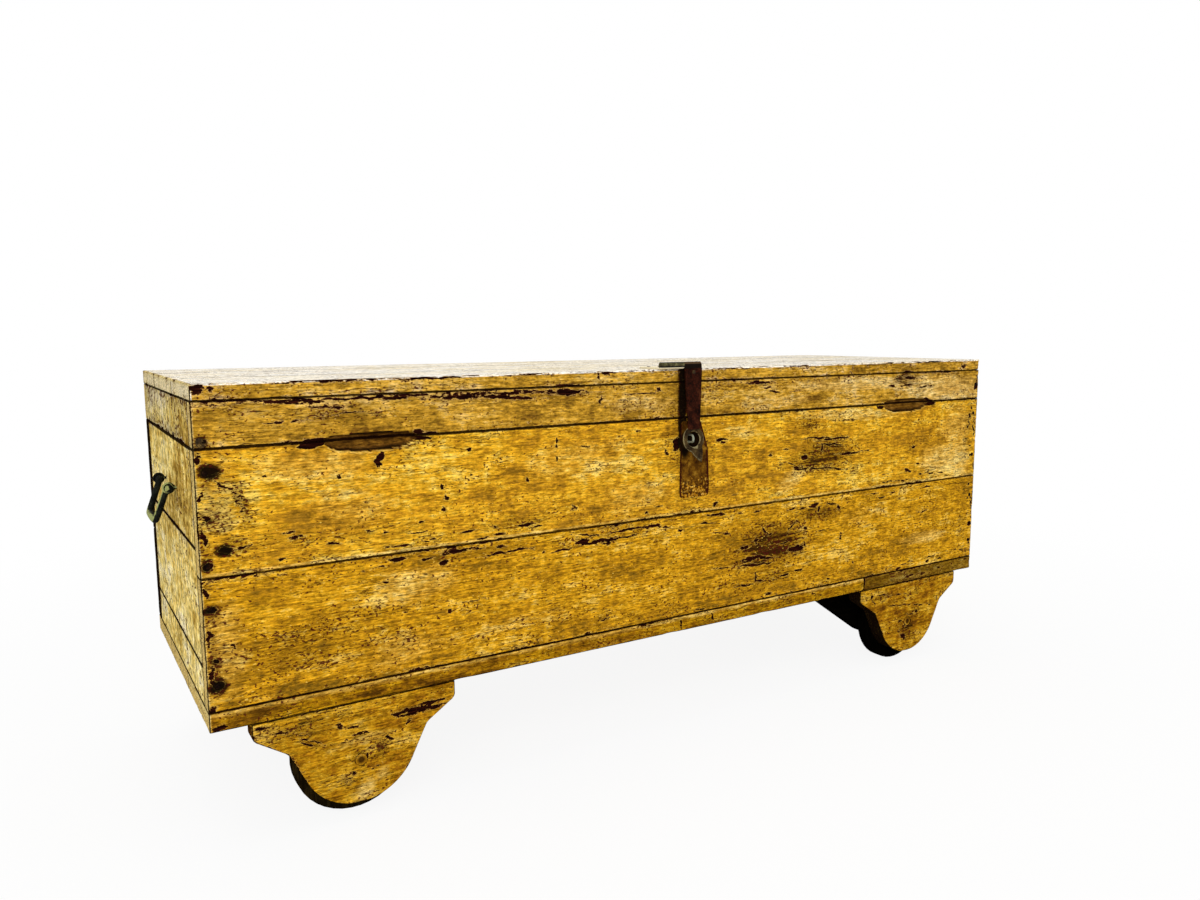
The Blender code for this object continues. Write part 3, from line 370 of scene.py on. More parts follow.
def painted_board(name, tones, bleached, seed, body="chest", slot="ochre_paint", grain=0, nick=0.0022,
                  step=0.006, chips=(), stains_and_shadows=(), fades=(), scoops=(), sun=0.0, dirt=0.0, ridge=0,
                  cut=None, brushed=None, **paint):
    """A worn, painted board in place of the CAD board of that name. chips, stains and fades are
    marks on its front, and some of the stains are painted shadow; scoops are the finger hollows
    that it shares with its neighbour. sun is how far its top has bleached, dirt how much grime
    lies all over it, and ridge the side, up or down, on which paint has piled up pale along its
    edge. cut shapes the finished points further, and brushed is the axis of the paint's pattern
    where that isn't the grain's. The wear attribute holds how chipped the paint is at each point,
    how much grime and painted shade it carries and how bleached it is, and as alpha how much of
    the wood was never painted; crease is the distance to the nearest joint in mm."""
    # The lattice is coarser along the grain, and every edge is rounded and knocked about
    low, high = (np.array(corner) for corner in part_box(name))
    spacing = np.full(3, step)
    spacing[grain] = step * 1.5
    thin = int(np.argmin(high - low))
    spacing[thin] = 0.005
    points, quads = board_lattice(low, high, spacing)
    edge = edge_distance(points, low, high)
    shaped = worn_down(points, low, high, grain, seed, nick)
    # Chips crowd the edges, dirt lies along them, and end grain and thin edges are pale
    size = np.full(3, 0.02)
    size[grain] = 0.08
    ragged = blotches(points, size, seed + 5)
    fine = blotches(points, size / 4, seed + 6)
    knocks = np.clip((0.6 * ragged + 0.4 * fine - 0.5) / 0.2, 0, 1)
    chipped = 0.03 + 0.8 * knocks * np.exp(-edge / 0.0035) + 0.22 * ragged * np.exp(-edge / 0.02)
    ends = np.minimum(points[:, grain] - low[grain], high[grain] - points[:, grain])
    grimy = dirt + 0.55 * np.exp(-edge / 0.012) * (0.3 + ragged)
    if name.startswith("back_plank"):
        grimy += 2.4 * (points[:, 0] < -end_grain)
    faded = 0.35 * np.exp(-edge / 0.006) * fine + 2.1 * (ends < 0.002) * (np.abs(points[:, 0]) > end_grain)
    faded += sun * (points[:, 2] > high[2] - 0.002) * (0.6 + 0.8 * ragged)
    if ridge:
        beside = (high if ridge > 0 else low)[2] - ridge * 0.0034 - points[:, 2]
        faded += (0.9 + 1.5 * ragged) * np.exp(-(beside / 0.0014) ** 2)
    # The marks show on the outer face alone, which is the lowest along the axis over the grain
    outward = 1 - grain
    outside = np.clip((low[outward] + 0.004 - points[:, outward]) / 0.003, 0, 1)
    if chips:
        chipped = np.maximum(chipped, outside * marked(points, chips, seed + 7, grain))
    # Stain marks raise the grime channel; those left of the hasp's strap are painted shadow
    if stains_and_shadows:
        grimy = np.maximum(grimy, outside * marked(points, stains_and_shadows, seed + 8, grain))
    if fades:
        faded = np.maximum(faded, outside * marked(points, fades, seed + 9, grain))
    # Never painted: the lid boards' undersides, the base's top and the walls' inner sides
    unpainted = np.zeros(len(points))
    if name.startswith("lid_top"):
        unpainted[points[:, 2] < low[2] + 0.0005] = 1.0
    elif name.startswith("base"):
        unpainted[points[:, 2] > high[2] - 0.0005] = 1.0
    else:
        middle = (low + high)[thin] / 2
        depth = (points[:, thin] - middle) * -np.sign(middle)
        unpainted[depth > (high - low)[thin] / 2 - 0.0005] = 1.0
    # Every edge is a dark joint but the lid's outer one. The lid's and the ends' are a little wider
    crease = edge * 1000
    rim_of_lid = (points[:, 2] > lid_top_height - 0.004) & (
        (np.abs(points[:, 0]) > high_end - 0.006) | (np.abs(points[:, 1]) > -front_face - 0.006))
    crease[rim_of_lid] = 9.0
    crease -= 0.5 * (np.abs(points[:, 2] - lid_seam) < 0.006) + 1.2 * ("_end_" in name)
    wear = np.stack([chipped, grimy, faded, unpainted], 1)
    # A scoop is a lens across the lid's seam that reaches further below the seam than above it. It
    # is dark with hand dirt, most at its lips, and its upper half, which faces down, is darker still
    # with painted shade; a pale worn line follows its lower lip
    for middle in scoops:
        x = (shaped[:, 0] - middle) / scoop_half
        z = shaped[:, 2] - lid_seam
        torn = 0.0035 * (blotches(points, (0.007, 0.02, 0.01), seed + 11) - 0.5)
        reach = np.where(z > 0, 0.0075 * np.clip(1 - x ** 8, 0, 1),
                         (0.0085 + 0.0085 * (1 - x ** 2)) * np.clip(1 - x ** 16, 0, 1) + torn)
        inside = np.clip(1 - np.abs(z) / np.maximum(reach, 1e-5), 0, 1) * (np.abs(x) < 1)
        face = points[:, 1] < low[1] + 0.016
        deep = scoop_depth * np.sqrt(np.clip(1 - (1 - inside) ** 2, 0, 1)) * np.clip(1 - x ** 4, 0, 1) ** 0.3
        shaped[:, 1] = np.where(face, np.maximum(shaped[:, 1], front_face + deep), shaped[:, 1])
        hollow = face * np.clip(inside * 12, 0, 1)
        wear[:, 3] = np.maximum(wear[:, 3], 0.92 * hollow)
        lip = np.clip(1.3 - 3 * inside, 0, 1) * np.where(z > 0, 0.7, 1)
        # In the hollow the grime channel is higher on the upper half, which faces down, as painted shade,
        # and the lips add hand dirt
        wear[:, 1] = np.where(hollow > 0, np.where(z > 0, 1.1, 0.5) + 1.7 * lip, wear[:, 1])
        bright = np.clip(1 - np.abs(reach + 0.0012 + z) / 0.0013, 0, 1)
        wear[:, 2] += 1.8 * face * (z < 0) * (np.abs(x) < 0.9) * bright
    if cut:
        shaped, wear = cut(shaped, wear)
    finish = milk_paint(name, grain if brushed is None else brushed, tones, bleached, seed, **paint)
    piece = new_piece(name + "_worn", body, shaped, quads, finish)
    layer = piece.data.attributes.new("wear", "FLOAT_COLOR", "POINT")
    layer.data.foreach_set("color", wear.astype(np.float32).ravel())
    layer = piece.data.attributes.new("crease", "FLOAT", "POINT")
    layer.data.foreach_set("value", crease.astype(np.float32))
    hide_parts(name)


upper_chips = (
    (-740, 273, 5, 3), (-718, 231, 9, 4, 0.8), (-697, 233, 14, 2, 0.9, 5), (-740, 214, 6, 5, 1.2),
    (-745, 345, 4, 8), (-744, 300, 3, 10), (-744, 250, 3, 12), (-520, 329, 4.5, 11, 1.4, -18),
    (-516, 334, 4, 5, 1.3), (-432, 283, 3, 5), (-427, 269, 5, 4, 1, 20), (-430, 254, 3, 4),
    (-388, 334, 4, 2), (-388, 297, 3, 2), (-668, 320, 3, 2), (-573, 312, 3, 5, 1, 15),
    (-612, 312, 6, 1, 1, 20), (-540, 310, 12, 1, 0.8), (-640, 245, 10, 3, 0.8),
    (-632, 238, 16, 2, 0.8, 5), (-655, 210, 6, 4, 0.9), (-585, 222, 15, 2, 0.9), (-535, 233, 6, 2),
    (-517, 230, 5, 3), (-470, 224, 16, 1, 0.8), (-462, 238, 7, 1), (-500, 209, 20, 2, 1.1, 1),
    (-450, 211, 18, 1, 0.9), (-395, 217, 13, 2, 1.1), (-352, 218, 5, 2), (-345, 206, 12, 2, 1, 2),
    (-372, 204, 14, 2), (-300, 215, 16, 2), (-285, 209, 18, 1, 0.9), (-298, 282, 3, 5),
    (-250, 335, 2, 10), (-246, 311, 2, 6), (-190, 325, 30, 1, 0.7, -4), (-100, 343, 5, 2),
    (-45, 305, 4, 5), (-82, 208, 5, 3, 1, 30), (-55, 217, 14, 1, 0.9), (-220, 232, 8, 6, 0.7),
    (68, 318, 14, 4, 1, -5), (75, 312, 6, 3), (72, 346, 4, 2), (58, 208, 7, 4, 1, 35),
    (100, 222, 12, 1, 0.8), (183, 283, 8, 4, 0.8), (222, 290, 12, 1, 0.9), (228, 264, 10, 2, 1, -20),
    (250, 256, 12, 2, 1, 10), (290, 306, 40, 2), (340, 302, 50, 2), (330, 291, 35, 2, 1, -5),
    (262, 273, 10, 5, 1.1, -10), (306, 287, 3, 10, 0.9), (375, 273, 32, 2, 1.2), (420, 273, 16, 1),
    (255, 253, 20, 2), (300, 250, 30, 2, 1, -3), (340, 246, 40, 2, 1, -5), (360, 335, 60, 1, 0.8, -3),
    (540, 227, 6, 6, 1.1), (547, 222, 6, 3, 1, -30), (572, 237, 5, 3), (582, 216, 7, 3),
    (597, 216, 10, 2), (612, 214, 8, 2), (640, 214, 12, 2), (555, 271, 6, 4, 0.9),
    (-607, 354.5, 17, 3, 1.7, 1), (-600, 357.5, 24, 2, 1.7), (-458, 354.5, 14, 2.5, 1.6),
    (458, 355, 12, 3, 1.5), (602, 355, 14, 4, 1.5), (-716, 312, 22, 3, 0.75, -40),
    (-700, 292, 6, 22, 0.55, 20), (-712, 300, 20, 36, 0.32), (-24, 316, 7, 11, 1.5), (693, 321, 3, 2),
    (470, 224, 30, 1, 0.7), (510, 207, 60, 1, 0.9), (650, 206, 50, 1, 0.9), (733, 339, 4, 3),
    (727, 325, 4, 8, 1, 20), (725, 305, 3, 12), (735, 262, 6, 3), (738, 243, 6, 3), (745, 220, 3, 8),
    (742, 300, 3, 25))
upper_stains_and_strap_shadow = (
    (-725, 295, 26, 56, 0.8), (-710, 235, 34, 14, 0.8), (-640, 235, 90, 16, 0.5),
    (-540, 230, 60, 12, 0.4), (-310, 220, 60, 12, 0.7), (-490, 335, 24, 14, 0.6, -20),
    (-590, 212, 60, 8, 0.45), (0, 290, 50, 70, 0.55), (-30, 330, 24, 30, 0.6), (320, 280, 75, 30, 1.1),
    (275, 335, 34, 20, 0.8), (300, 262, 90, 22), (550, 270, 24, 16, 0.6), (390, 238, 18, 10, 0.7, 45),
    # (-12.5, 350) and (-16, 320), at strength 3, are painted shadow: the near-black band that the hasp's
    # strap throws to its left
    (722, 290, 14, 70, 0.7), (600, 222, 60, 10, 0.5), (30, 300, 30, 60, 0.5), (-12.5, 350, 8.5, 26, 3.0),
    (-16, 320, 6, 14, 3.0), (-733, 330, 13, 9, 2.7), (-720, 231, 13, 8, 2.5), (-741, 214, 8, 7, 2.4),
    (-736, 272, 8, 5, 1.9), (-698, 292, 9, 34, 1.15, 22), (-742, 250, 7, 60, 0.8))
upper_fades = (
    (-725, 300, 24, 60, 0.4), (-600, 330, 100, 25, 0.45), (-560, 280, 70, 40, 0.35),
    (-200, 300, 120, 40, 0.4), (-100, 240, 90, 30, 0.4), (230, 235, 34, 18, 0.8, 20),
    (380, 345, 150, 12, 0.7, -3), (650, 240, 70, 30, 1.2), (700, 230, 34, 60, 0.9),
    (690, 300, 50, 50, 0.6), (120, 330, 60, 20, 0.4))
painted_board("front_plank_upper", upper_tones, mustard_bleached, 11, step=0.002, chips=upper_chips,
              stains_and_shadows=upper_stains_and_strap_shadow, fades=upper_fades, scoops=(-scoop_out, scoop_out), ridge=-1)

lower_chips = (
    (-500, 189, 14, 3, 1.2), (-525, 183, 6, 2, 1, 10), (-455, 184, 8, 2, 1.1), (-548, 181, 4, 2),
    (-432, 176, 7, 4, 1.3), (-400, 190, 40, 3, 0.9), (-345, 178, 30, 2, 1, 5), (-340, 186, 10, 3),
    (-320, 179, 40, 2), (-273, 171, 5, 2, 1.1), (-463, 164, 12, 1, 0.9, -5), (-515, 160, 6, 2, 0.9),
    (-740, 158, 6, 3, 1.1), (-718, 107, 3, 6), (-737, 60, 7, 6, 1.3), (-738, 93, 4, 3), (-744, 30, 6, 8),
    (-745, 180, 3, 8), (-744, 125, 3, 15), (-742, 75, 4, 12), (-425, 105, 5, 3, 0.9),
    (-388, 113, 25, 1, 0.8), (-490, 113, 4, 2, 0.9), (-240, 168, 22, 2, 1.1, 5),
    (-205, 178, 16, 4, 1.2, 5), (-180, 174, 30, 3, 1.2, 4), (-160, 170, 14, 2, 1.1),
    (-130, 174, 30, 2, 1.1, 2), (-195, 187, 25, 2, 1, -5), (-120, 186, 40, 2, 1.2, 3),
    (-70, 186, 20, 3, 1.2), (-45, 182, 12, 2), (-15, 172, 6, 2, 1, 10), (40, 178, 18, 2, 1.1, -3),
    (60, 190, 25, 2, 1.1, -2), (110, 187, 10, 2), (83, 154, 10, 3, 1, -5), (70, 158, 20, 1, 0.9, -5),
    (150, 186, 20, 1, 0.9), (235, 181, 14, 2, 1.1), (170, 148, 12, 2, 1, -40), (183, 141, 6, 2, 1, 35),
    (215, 122, 16, 2, 1, 10), (235, 150, 16, 2, 1, 40), (240, 108, 14, 4, 1.3),
    (150, 103, 30, 3, 1.3, -3), (135, 98, 12, 2, 1.1), (180, 99, 20, 2, 1.1), (150, 91, 50, 2, 1, -3),
    (125, 125, 12, 4, 0.9), (150, 133, 6, 6, 0.9), (78, 97, 30, 1, 0.9), (130, 57, 30, 1, 0.9),
    (150, 69, 3, 9, 1.1), (158, 62, 12, 2, 1.1, -10), (218, 62, 15, 3, 1.1), (255, 66, 14, 2),
    (185, 33, 6, 4), (-163, 47, 11, 2, 0.9, 5), (28, 31, 14, 2, 0.9, -8), (260, 180, 14, 2),
    (290, 183, 16, 3, 1.2, 10), (300, 176, 4, 8), (335, 181, 14, 2, 1.1), (352, 174, 3, 9),
    (250, 107, 14, 6, 1.1), (268, 143, 6, 3, 1, -20), (310, 133, 18, 1, 0.9), (362, 118, 3, 12, 0.9),
    (268, 112, 3, 6, 0.9), (398, 60, 4, 3), (330, 38, 4, 3), (440, 188, 20, 1, 0.9), (470, 179, 12, 2),
    (500, 186, 20, 1, 0.9), (523, 192, 8, 2), (590, 140, 14, 4, 0.7), (600, 188, 25, 1, 0.9),
    (735, 182, 5, 4, 1.1), (733, 152, 5, 3), (740, 97, 7, 5, 1.3), (742, 60, 3, 12), (745, 140, 3, 20),
    (525, 31, 10, 4, 1.1), (540, 37, 12, 2), (612, 33, 7, 3, 1.1), (622, 40, 14, 2), (650, 34, 10, 2),
    (700, 46, 4, 3), (720, 44, 16, 1, 0.9))
lower_stains = (
    (-640, 90, 110, 34, 0.7), (-560, 122, 90, 10, 0.6), (-560, 70, 120, 22, 0.45),
    (-390, 186, 110, 10, 0.8), (-150, 180, 110, 9, 0.6), (-265, 120, 18, 30, 0.55),
    (-250, 70, 60, 20, 0.4), (-60, 40, 80, 18, 0.5), (190, 122, 90, 42, 1.25), (160, 98, 80, 12, 1.15),
    (250, 110, 30, 30, 0.9), (180, 65, 90, 20, 0.7), (300, 168, 62, 15, 1.1),
    (245, 148, 30, 20, 0.85, 30), (130, 50, 60, 20, 0.55), (720, 120, 20, 60, 0.55),
    (-168, 45, 22, 16, 0.7), (-739, 158, 11, 6, 2.4), (-737, 60, 12, 11, 2.4), (-737, 93, 8, 6, 1.9),
    (-740, 78, 10, 40), (-742, 130, 6, 30, 0.8))
lower_fades = (
    (-725, 100, 26, 70, 0.5), (600, 85, 60, 12), (560, 84, 34, 10, 0.7), (-480, 150, 70, 30, 0.5),
    (-500, 60, 100, 26, 0.35), (-300, 70, 90, 18, 0.3), (420, 150, 80, 20, 0.3))
painted_board("front_plank_lower", lower_tones, mustard_bleached, 23, step=0.002, chips=lower_chips,
              stains_and_shadows=lower_stains, fades=lower_fades)


# Base
# Three hardwood boards under the walls, in browner paint. The front one is pieced out at the
# right with a short, darker olive length.
base_tones = ("#56360a", "#865a0c", "#a2730c", "#b98910", "#c99e2e")
painted_board("base_board_front_long", base_tones, mustard_bleached, 31, step=0.003, ridge=1,
              stains_and_shadows=((-700, 10, 60, 14, 0.7), (0, 8, 300, 6, 0.4), (200, 12, 80, 10, 0.6)),
              chips=((-738, 6, 10, 4, 1.1), (-14, 12, 3, 8), (52, 12, 2, 9), (300, 14, 20, 2, 1, -10)))
painted_board("base_board_front_short", ("#4c300a", "#66460c", "#785810", "#866418", "#9c7a2c"),
              ("#7d6426", "#93762e", "#a98c40"), 37, slot="olive_paint", step=0.003,
              chips=((600, 11, 150, 1, 0.75, 3.2), (735, 20, 12, 3)),
              fades=((600, 13.5, 150, 1.5, 1.3, 3.2),), stains_and_shadows=((560, 16, 100, 8, 0.4),))
for seed, strip in ((41, "middle"), (43, "back")):
    painted_board(f"base_board_{strip}", base_tones, mustard_bleached, seed, step=0.009)


# Ends and back
# Three planks across each end between the long walls, bleached by the sun to a cream yellow;
# two planks at the back, in the front's paint.
end_stains = (
    (-105, 280, 64, 26, 0.85), (-60, 262, 50, 14, 0.6), (-30, 232, 130, 4, 1.3),
    (-210, 335, 22, 26, 0.8), (-150, 250, 60, 10, 0.6), (100, 200, 110, 22, 0.5),
    (-70, 150, 30, 30, 0.4), (217, 180, 12, 500, 3.0))
end_tones = ("#8e6c28", "#caa852", "#eace78", "#f4de94", "#faecc0")
end_bleached = ("#d8bc70", "#eedaa0", "#f8ecc8")
cream = {"slot": "cream_paint", "grain": 1, "brushed": 2, "broad": 3.5}
for first, side, stains_and_shadows in ((51, "left", end_stains), (60, "right", ())):
    for seed, plank in enumerate(("lower", "middle", "upper")):
        painted_board(f"{side}_end_plank_{plank}", end_tones, end_bleached, first + 3 * seed, step=0.005,
                      dirt=0.04, filth="#9e7a2e", stains_and_shadows=stains_and_shadows, **cream)
painted_board("back_plank_upper", upper_tones, mustard_bleached, 81)
painted_board("back_plank_lower", lower_tones, mustard_bleached, 83)


# Lid
# A shallow box: four rim boards in dirty mustard paint under three long boards whose tops the
# sun has bleached to cream.
rim_tones = ("#6f4d16", "#9e7520", "#bf8f2a", "#cfa240", "#dcb464")
rim_chips = (
    (-600, 361, 20, 3, 1.5), (-463, 364, 9, 4, 1.5), (-450, 361, 14, 2, 1.3), (592, 362, 14, 4, 1.3),
    (-560, 414, 190, 2, 0.95), (-300, 411, 150, 3, 0.8, -1), (-740, 367, 6, 6, 0.9),
    (-640, 412, 55, 3, 0.9, -2), (-590, 404, 40, 3, 0.65, -8), (-640, 387, 60, 1, 0.8),
    (-560, 395, 40, 1, 0.8, 3), (-500, 412, 40, 2, 0.9), (-400, 409, 60, 4, 0.85),
    (-330, 405, 60, 4, 0.85, -3), (-230, 409, 30, 5), (-170, 395, 3, 8, 1, 10), (-164, 384, 4, 2),
    (-62, 407, 4, 5, 1, 30), (-100, 402, 60, 1, 0.9), (150, 411, 40, 3), (170, 402, 14, 2),
    (190, 394, 20, 2, 1, -5), (240, 393, 20, 1, 0.9), (535, 408, 22, 4, 0.8), (490, 394, 12, 2),
    (530, 393, 20, 2), (578, 388, 12, 3), (600, 391, 8, 2), (742, 385, 7, 8, 1.2), (745, 398, 3, 10))
rim_stains_and_strap_shadow = (
    (-690, 405, 70, 10, 0.7), (-570, 395, 65, 16, 0.9), (-640, 385, 110, 22, 0.5),
    (-380, 408, 150, 9, 0.8, -1), (-230, 405, 60, 8, 0.7), (-120, 378, 40, 14, 0.7),
    (60, 405, 60, 10, 0.6), (160, 408, 70, 9, 0.6), (530, 405, 50, 14), (530, 409, 24, 7, 1.5),
    # (-12.5, 389), at strength 3, is painted shadow: the near-black band left of the hasp's strap
    (0, 390, 35, 30, 0.8), (-12.5, 389, 8.5, 46, 3.0), (-740, 367, 9, 9, 2.0))
rim_fades = (
    (450, 400, 250, 12, 0.9), (640, 380, 110, 30), (-100, 385, 80, 14, 0.5), (200, 378, 120, 14, 0.5))
painted_board("lid_rim_front", rim_tones, ("#bd9040", "#d4ad5c", "#e6c985"), 91, body="lid", step=0.0022,
              chips=rim_chips, stains_and_shadows=rim_stains_and_strap_shadow, fades=rim_fades, scoops=(-scoop_out, scoop_out))
painted_board("lid_rim_back", rim_tones, mustard_bleached, 93, body="lid")
left_rim_chips = (
    (-81, 362, 9, 3, 1.5), (-49, 361, 6, 3, 1.3), (-34, 361, 5, 2, 1.3), (-14, 362, 7, 3, 1.4),
    (1, 361, 5, 2, 1.3), (31, 362, 9, 3, 1.4), (90, 361, 40, 2, 1.2), (-150, 361, 40, 1.5, 1.1))
cream["filth"] = "#725218"
painted_board("lid_rim_left", end_tones, end_bleached, 95, body="lid", step=0.004, dirt=0.58,
              chips=left_rim_chips, **cream)
painted_board("lid_rim_right", end_tones, end_bleached, 97, body="lid", step=0.005, dirt=0.3, **cream)
top_chips = (
    (-560, 416, 190, 1.5, 0.95), (-742, 433, 10, 6, 1.1), (-725, 431, 6, 4), (-440, 436, 60, 2),
    (-150, 436, 20, 2), (-172, 432, 3, 8), (-230, 419, 30, 3), (378, 426, 2, 9), (530, 419, 24, 3, 0.85),
    (700, 425, 12, 5, 0.9), (420, 432, 4, 3), (-600, 437, 80, 1), (-300, 437, 60, 1), (100, 437, 70, 1),
    (600, 437, 60, 1), (240, 424, 14, 2, 0.9))
top_stains_and_strap_shadow = (
    (-700, 425, 60, 8, 0.6), (-450, 424, 60, 6, 0.5), (540, 424, 60, 10, 0.8),
    # (-12.5, 428), at strength 3, is painted shadow: the near-black band left of the hasp's strap
    (-12.5, 428, 8.5, 24, 3.0), (-250, 422, 80, 5, 0.6), (200, 422, 90, 5, 0.5))
for strip, seed, step, chips, stains_and_shadows in (("front", 101, 0.0032, top_chips, top_stains_and_strap_shadow),
                                         ("middle", 104, 0.0045, (), ()), ("back", 107, 0.0045, (), ())):
    painted_board(f"lid_top_{strip}", rim_tones, ("#ecdfc0", "#f9f2e2", "#fffcf4"), seed, body="lid",
                  slot="cream_paint", nick=0.0034, step=step, sun=1.3, chips=chips, stains_and_shadows=stains_and_shadows)


# Outer brackets
# Sawn boards with a lip, a shoulder and a round lobe, nailed up under the base in front of each
# wheel. Paint as on the planks, grimy and chipped round the lobe, with the axle's end in a hole.
def bracket_half_width(depth):
    """The bracket's half width at a depth below its top, from a lip, a slope, and a round lobe.
    The outline's corners are rounded by arcs: at turn t of an arc through 2h, the point is
    middle + (sin(2h-t) start + sin(t) end) / sin(2h)."""
    corners = np.array([(bracket_half, 0.0), (bracket_half, 0.0235), (0.0965, 0.052), (0.0505, 0.144),
                        (0.0, 0.144)])
    path = [corners[0]]
    for before, corner, after, radius in zip(corners, corners[1:], corners[2:], (0.010, 0.016, 0.0812)):
        back = (before - corner) / np.linalg.norm(before - corner)
        onward = (after - corner) / np.linalg.norm(after - corner)
        half_turn = math.acos(-float(back @ onward)) / 2
        middle = corner + (back + onward) / np.linalg.norm(back + onward) * radius / math.cos(half_turn)
        start = corner + back * radius * math.tan(half_turn) - middle
        end = corner + onward * radius * math.tan(half_turn) - middle
        turn = np.linspace(0, 2 * half_turn, 33)[:, None]
        path.extend(middle + (np.sin(2 * half_turn - turn) * start + np.sin(turn) * end)
                    / math.sin(2 * half_turn))
    path = np.array(path)
    return np.interp(depth, path[:, 1], path[:, 0])


def sawn_bracket(side, face):
    """A cut for a board: its x is scaled about the bracket's middle to the outline's half width,
    and the points round the axle are pulled to the hole's rim and let in behind the pin's end.
    The sawn edge is black with dirt."""
    def cut(points, wear):
        middle = side * wheel_out
        width = bracket_half_width(base_underside - points[:, 2])
        points[:, 0] = middle + (points[:, 0] - middle) * width / bracket_half
        away = np.stack([points[:, 0] - middle, points[:, 2] - axle_height], 1)
        reach = np.linalg.norm(away, axis=1)
        front = np.abs(points[:, 1] - face * bracket_face) < 0.004
        near = front & (np.abs(reach - hole) < 0.0021)
        rim = np.where(reach > hole, hole + 0.0002, hole - 0.0001)
        away[near] *= (rim / np.maximum(reach, 1e-6))[near][:, None]
        points[:, 0] = middle + away[:, 0]
        points[:, 2] = axle_height + away[:, 1]
        inside = front & (reach < hole)
        points[inside, 1] = face * (bracket_face - 0.002)
        grease = 0.3 * np.exp(-(np.maximum(reach - 0.008, 0) / 0.006) ** 2) * front
        wear[:, 1] = np.maximum(wear[:, 1], grease)
        sawn = np.abs(np.abs(points[:, 1]) - bracket_middle) < 0.0142
        sawn &= points[:, 2] < base_underside - 0.002
        wear[:, 1] = np.where(sawn, 1.3 if side < 0 else 3.0, wear[:, 1])
        return points, wear
    return cut


bracket_half, bracket_face, bracket_middle = 0.140, 0.246, 0.231
wheel_out, axle_height, hole = 0.560, 0.084, 0.0082
foot_tones = ("#5e380c", "#90600e", "#b07e12", "#c79722", "#d9ae46")
left_foot_chips = (
    (-470, -30, 52, 4, 1.2, -3), (-455, -24, 25, 3, 1.1, 4), (-480, -36, 30, 2, 1.1, -3),
    (-690, -8, 10, 3, 0.9), (-665, -20, 10, 4, 0.8), (-640, -28, 8, 3, 0.7), (-547, -80, 3, 4),
    (-580, -100, 8, 4, 0.9), (-590, -30, 6, 5, 0.9), (-570, -34, 8, 3, 0.9), (-590, -52, 20, 2, 0.9),
    (-560, -46, 20, 2, 0.9), (-600, -108, 14, 3, 0.9), (-525, -120, 3, 2), (-500, -62, 14, 3, 0.9, -10),
    (-640, -40, 16, 3, 0.9, -35), (-652, -44, 8, 3, 1, -30), (-520, -98, 30, 1, 0.9, 12),
    (-470, -45, 8, 4, 0.9, -30))
left_foot_stains = (
    (-640, -20, 50, 20, 0.9), (-640, -45, 30, 12, 0.8, -20), (-510, -78, 16, 12),
    (-470, -28, 40, 10, 0.9), (-563, -80, 30, 20, 0.7), (-600, -110, 24, 14, 0.8),
    (-540, -60, 60, 8, 0.6), (-560, -20, 60, 8, 0.5))
left_foot_fades = (
    (-550, -128, 40, 14, 0.9, 10), (-560, -55, 70, 8, 0.5, 4), (-500, -110, 20, 12, 0.6))
right_foot_chips = (
    (452, -22, 3, 14), (480, -18, 14, 2), (520, -22, 34, 2, 1, -3), (560, -50, 100, 1, 0.9, -6),
    (650, -58, 16, 1, 0.9, -6), (570, -70, 16, 2, 0.9), (530, -112, 22, 6, 1, -10),
    (540, -118, 10, 3, 1, 20), (512, -100, 8, 3), (600, -68, 12, 2, 0.9), (545, -90, 4, 4),
    (520, -78, 12, 3, 0.9))
right_foot_stains = (
    (560, -100, 50, 26), (570, -72, 40, 12, 0.8), (500, -20, 50, 8, 0.7), (600, -10, 90, 6, 0.5),
    (540, -30, 110, 12, 0.4))
foot_marks = {
    "front_left": (-1, -1, left_foot_chips, left_foot_stains, left_foot_fades),
    "front_right": (1, -1, right_foot_chips, right_foot_stains, ()),
    "back_left": (-1, 1, (), (), ()),
    "back_right": (1, 1, (), (), ()),
}
for seed, (corner, (side, face, chips, stains_and_shadows, fades)) in enumerate(foot_marks.items()):
    painted_board(f"foot_outer_{corner}", foot_tones, ("#b08a34", "#c8a24a", "#dab868"), 121 + 3 * seed,
                  nick=0.001, step=0.003, chips=chips, stains_and_shadows=stains_and_shadows, fades=fades,
                  cut=sawn_bracket(side, face))


# Inner brackets and wheels
# Never painted: boards and turned wheels black with axle grease and road dirt. Only the dust on
# them and the grain under the grease give any light back.
def greasy_wood(name, grain, shift, film_tones=("#020201", "#040302", "#090704", "#151008")):
    """Wood under old grease: near black, with a dusty brown film that breaks along the grain.
    film_tones run from the wettest grease to the driest dust."""
    material, tree, shader, place = new_finish(name)
    scale = [260.0] * 3
    scale[grain] = 16.0
    line = streaks(tree, place, scale, (shift, shift * 2.0, shift * 3.0))
    film = node(tree, "TexNoise", {"Vector": place, "Scale": 34.0, "Detail": 5.0, "Roughness": 0.7})
    both = node(tree, "Mix", {0: 0.5, 2: line, 3: film})
    colour = node(tree, "ValToRGB", (both,),
                  stops=[(at, tint(c)) for at, c in zip((0.36, 0.5, 0.62, 0.76), film_tones)])
    gloss = node(tree, "MapRange", (film, 0.35, 0.65, 0.42, 0.8))
    bump = node(tree, "Bump", {"Strength": 0.5, "Distance": 0.0006, "Height": both})
    fill(tree, shader, {"Base Color": colour, "Roughness": gloss, "Specular IOR Level": 0.0, "Normal": bump})
    return material


def refinish(name, material):
    """Puts a material in every slot of a CAD node."""
    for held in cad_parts[name].material_slots:
        held.material = material


inner_wood, wheel_wood = greasy_wood("greasy_bracket_wood", 0, 3.0), greasy_wood("greasy_wheel_wood", 2, 9.0)
dusty_wood = greasy_wood("dusty_wheel_wood", 2, 11.0, ("#0a0703", "#191206", "#2e2410", "#4a3c1a"))
for corner in foot_marks:
    refinish(f"foot_inner_{corner}", inner_wood)
    refinish(f"wheel_{corner}", dusty_wood if corner.endswith("left") else wheel_wood)


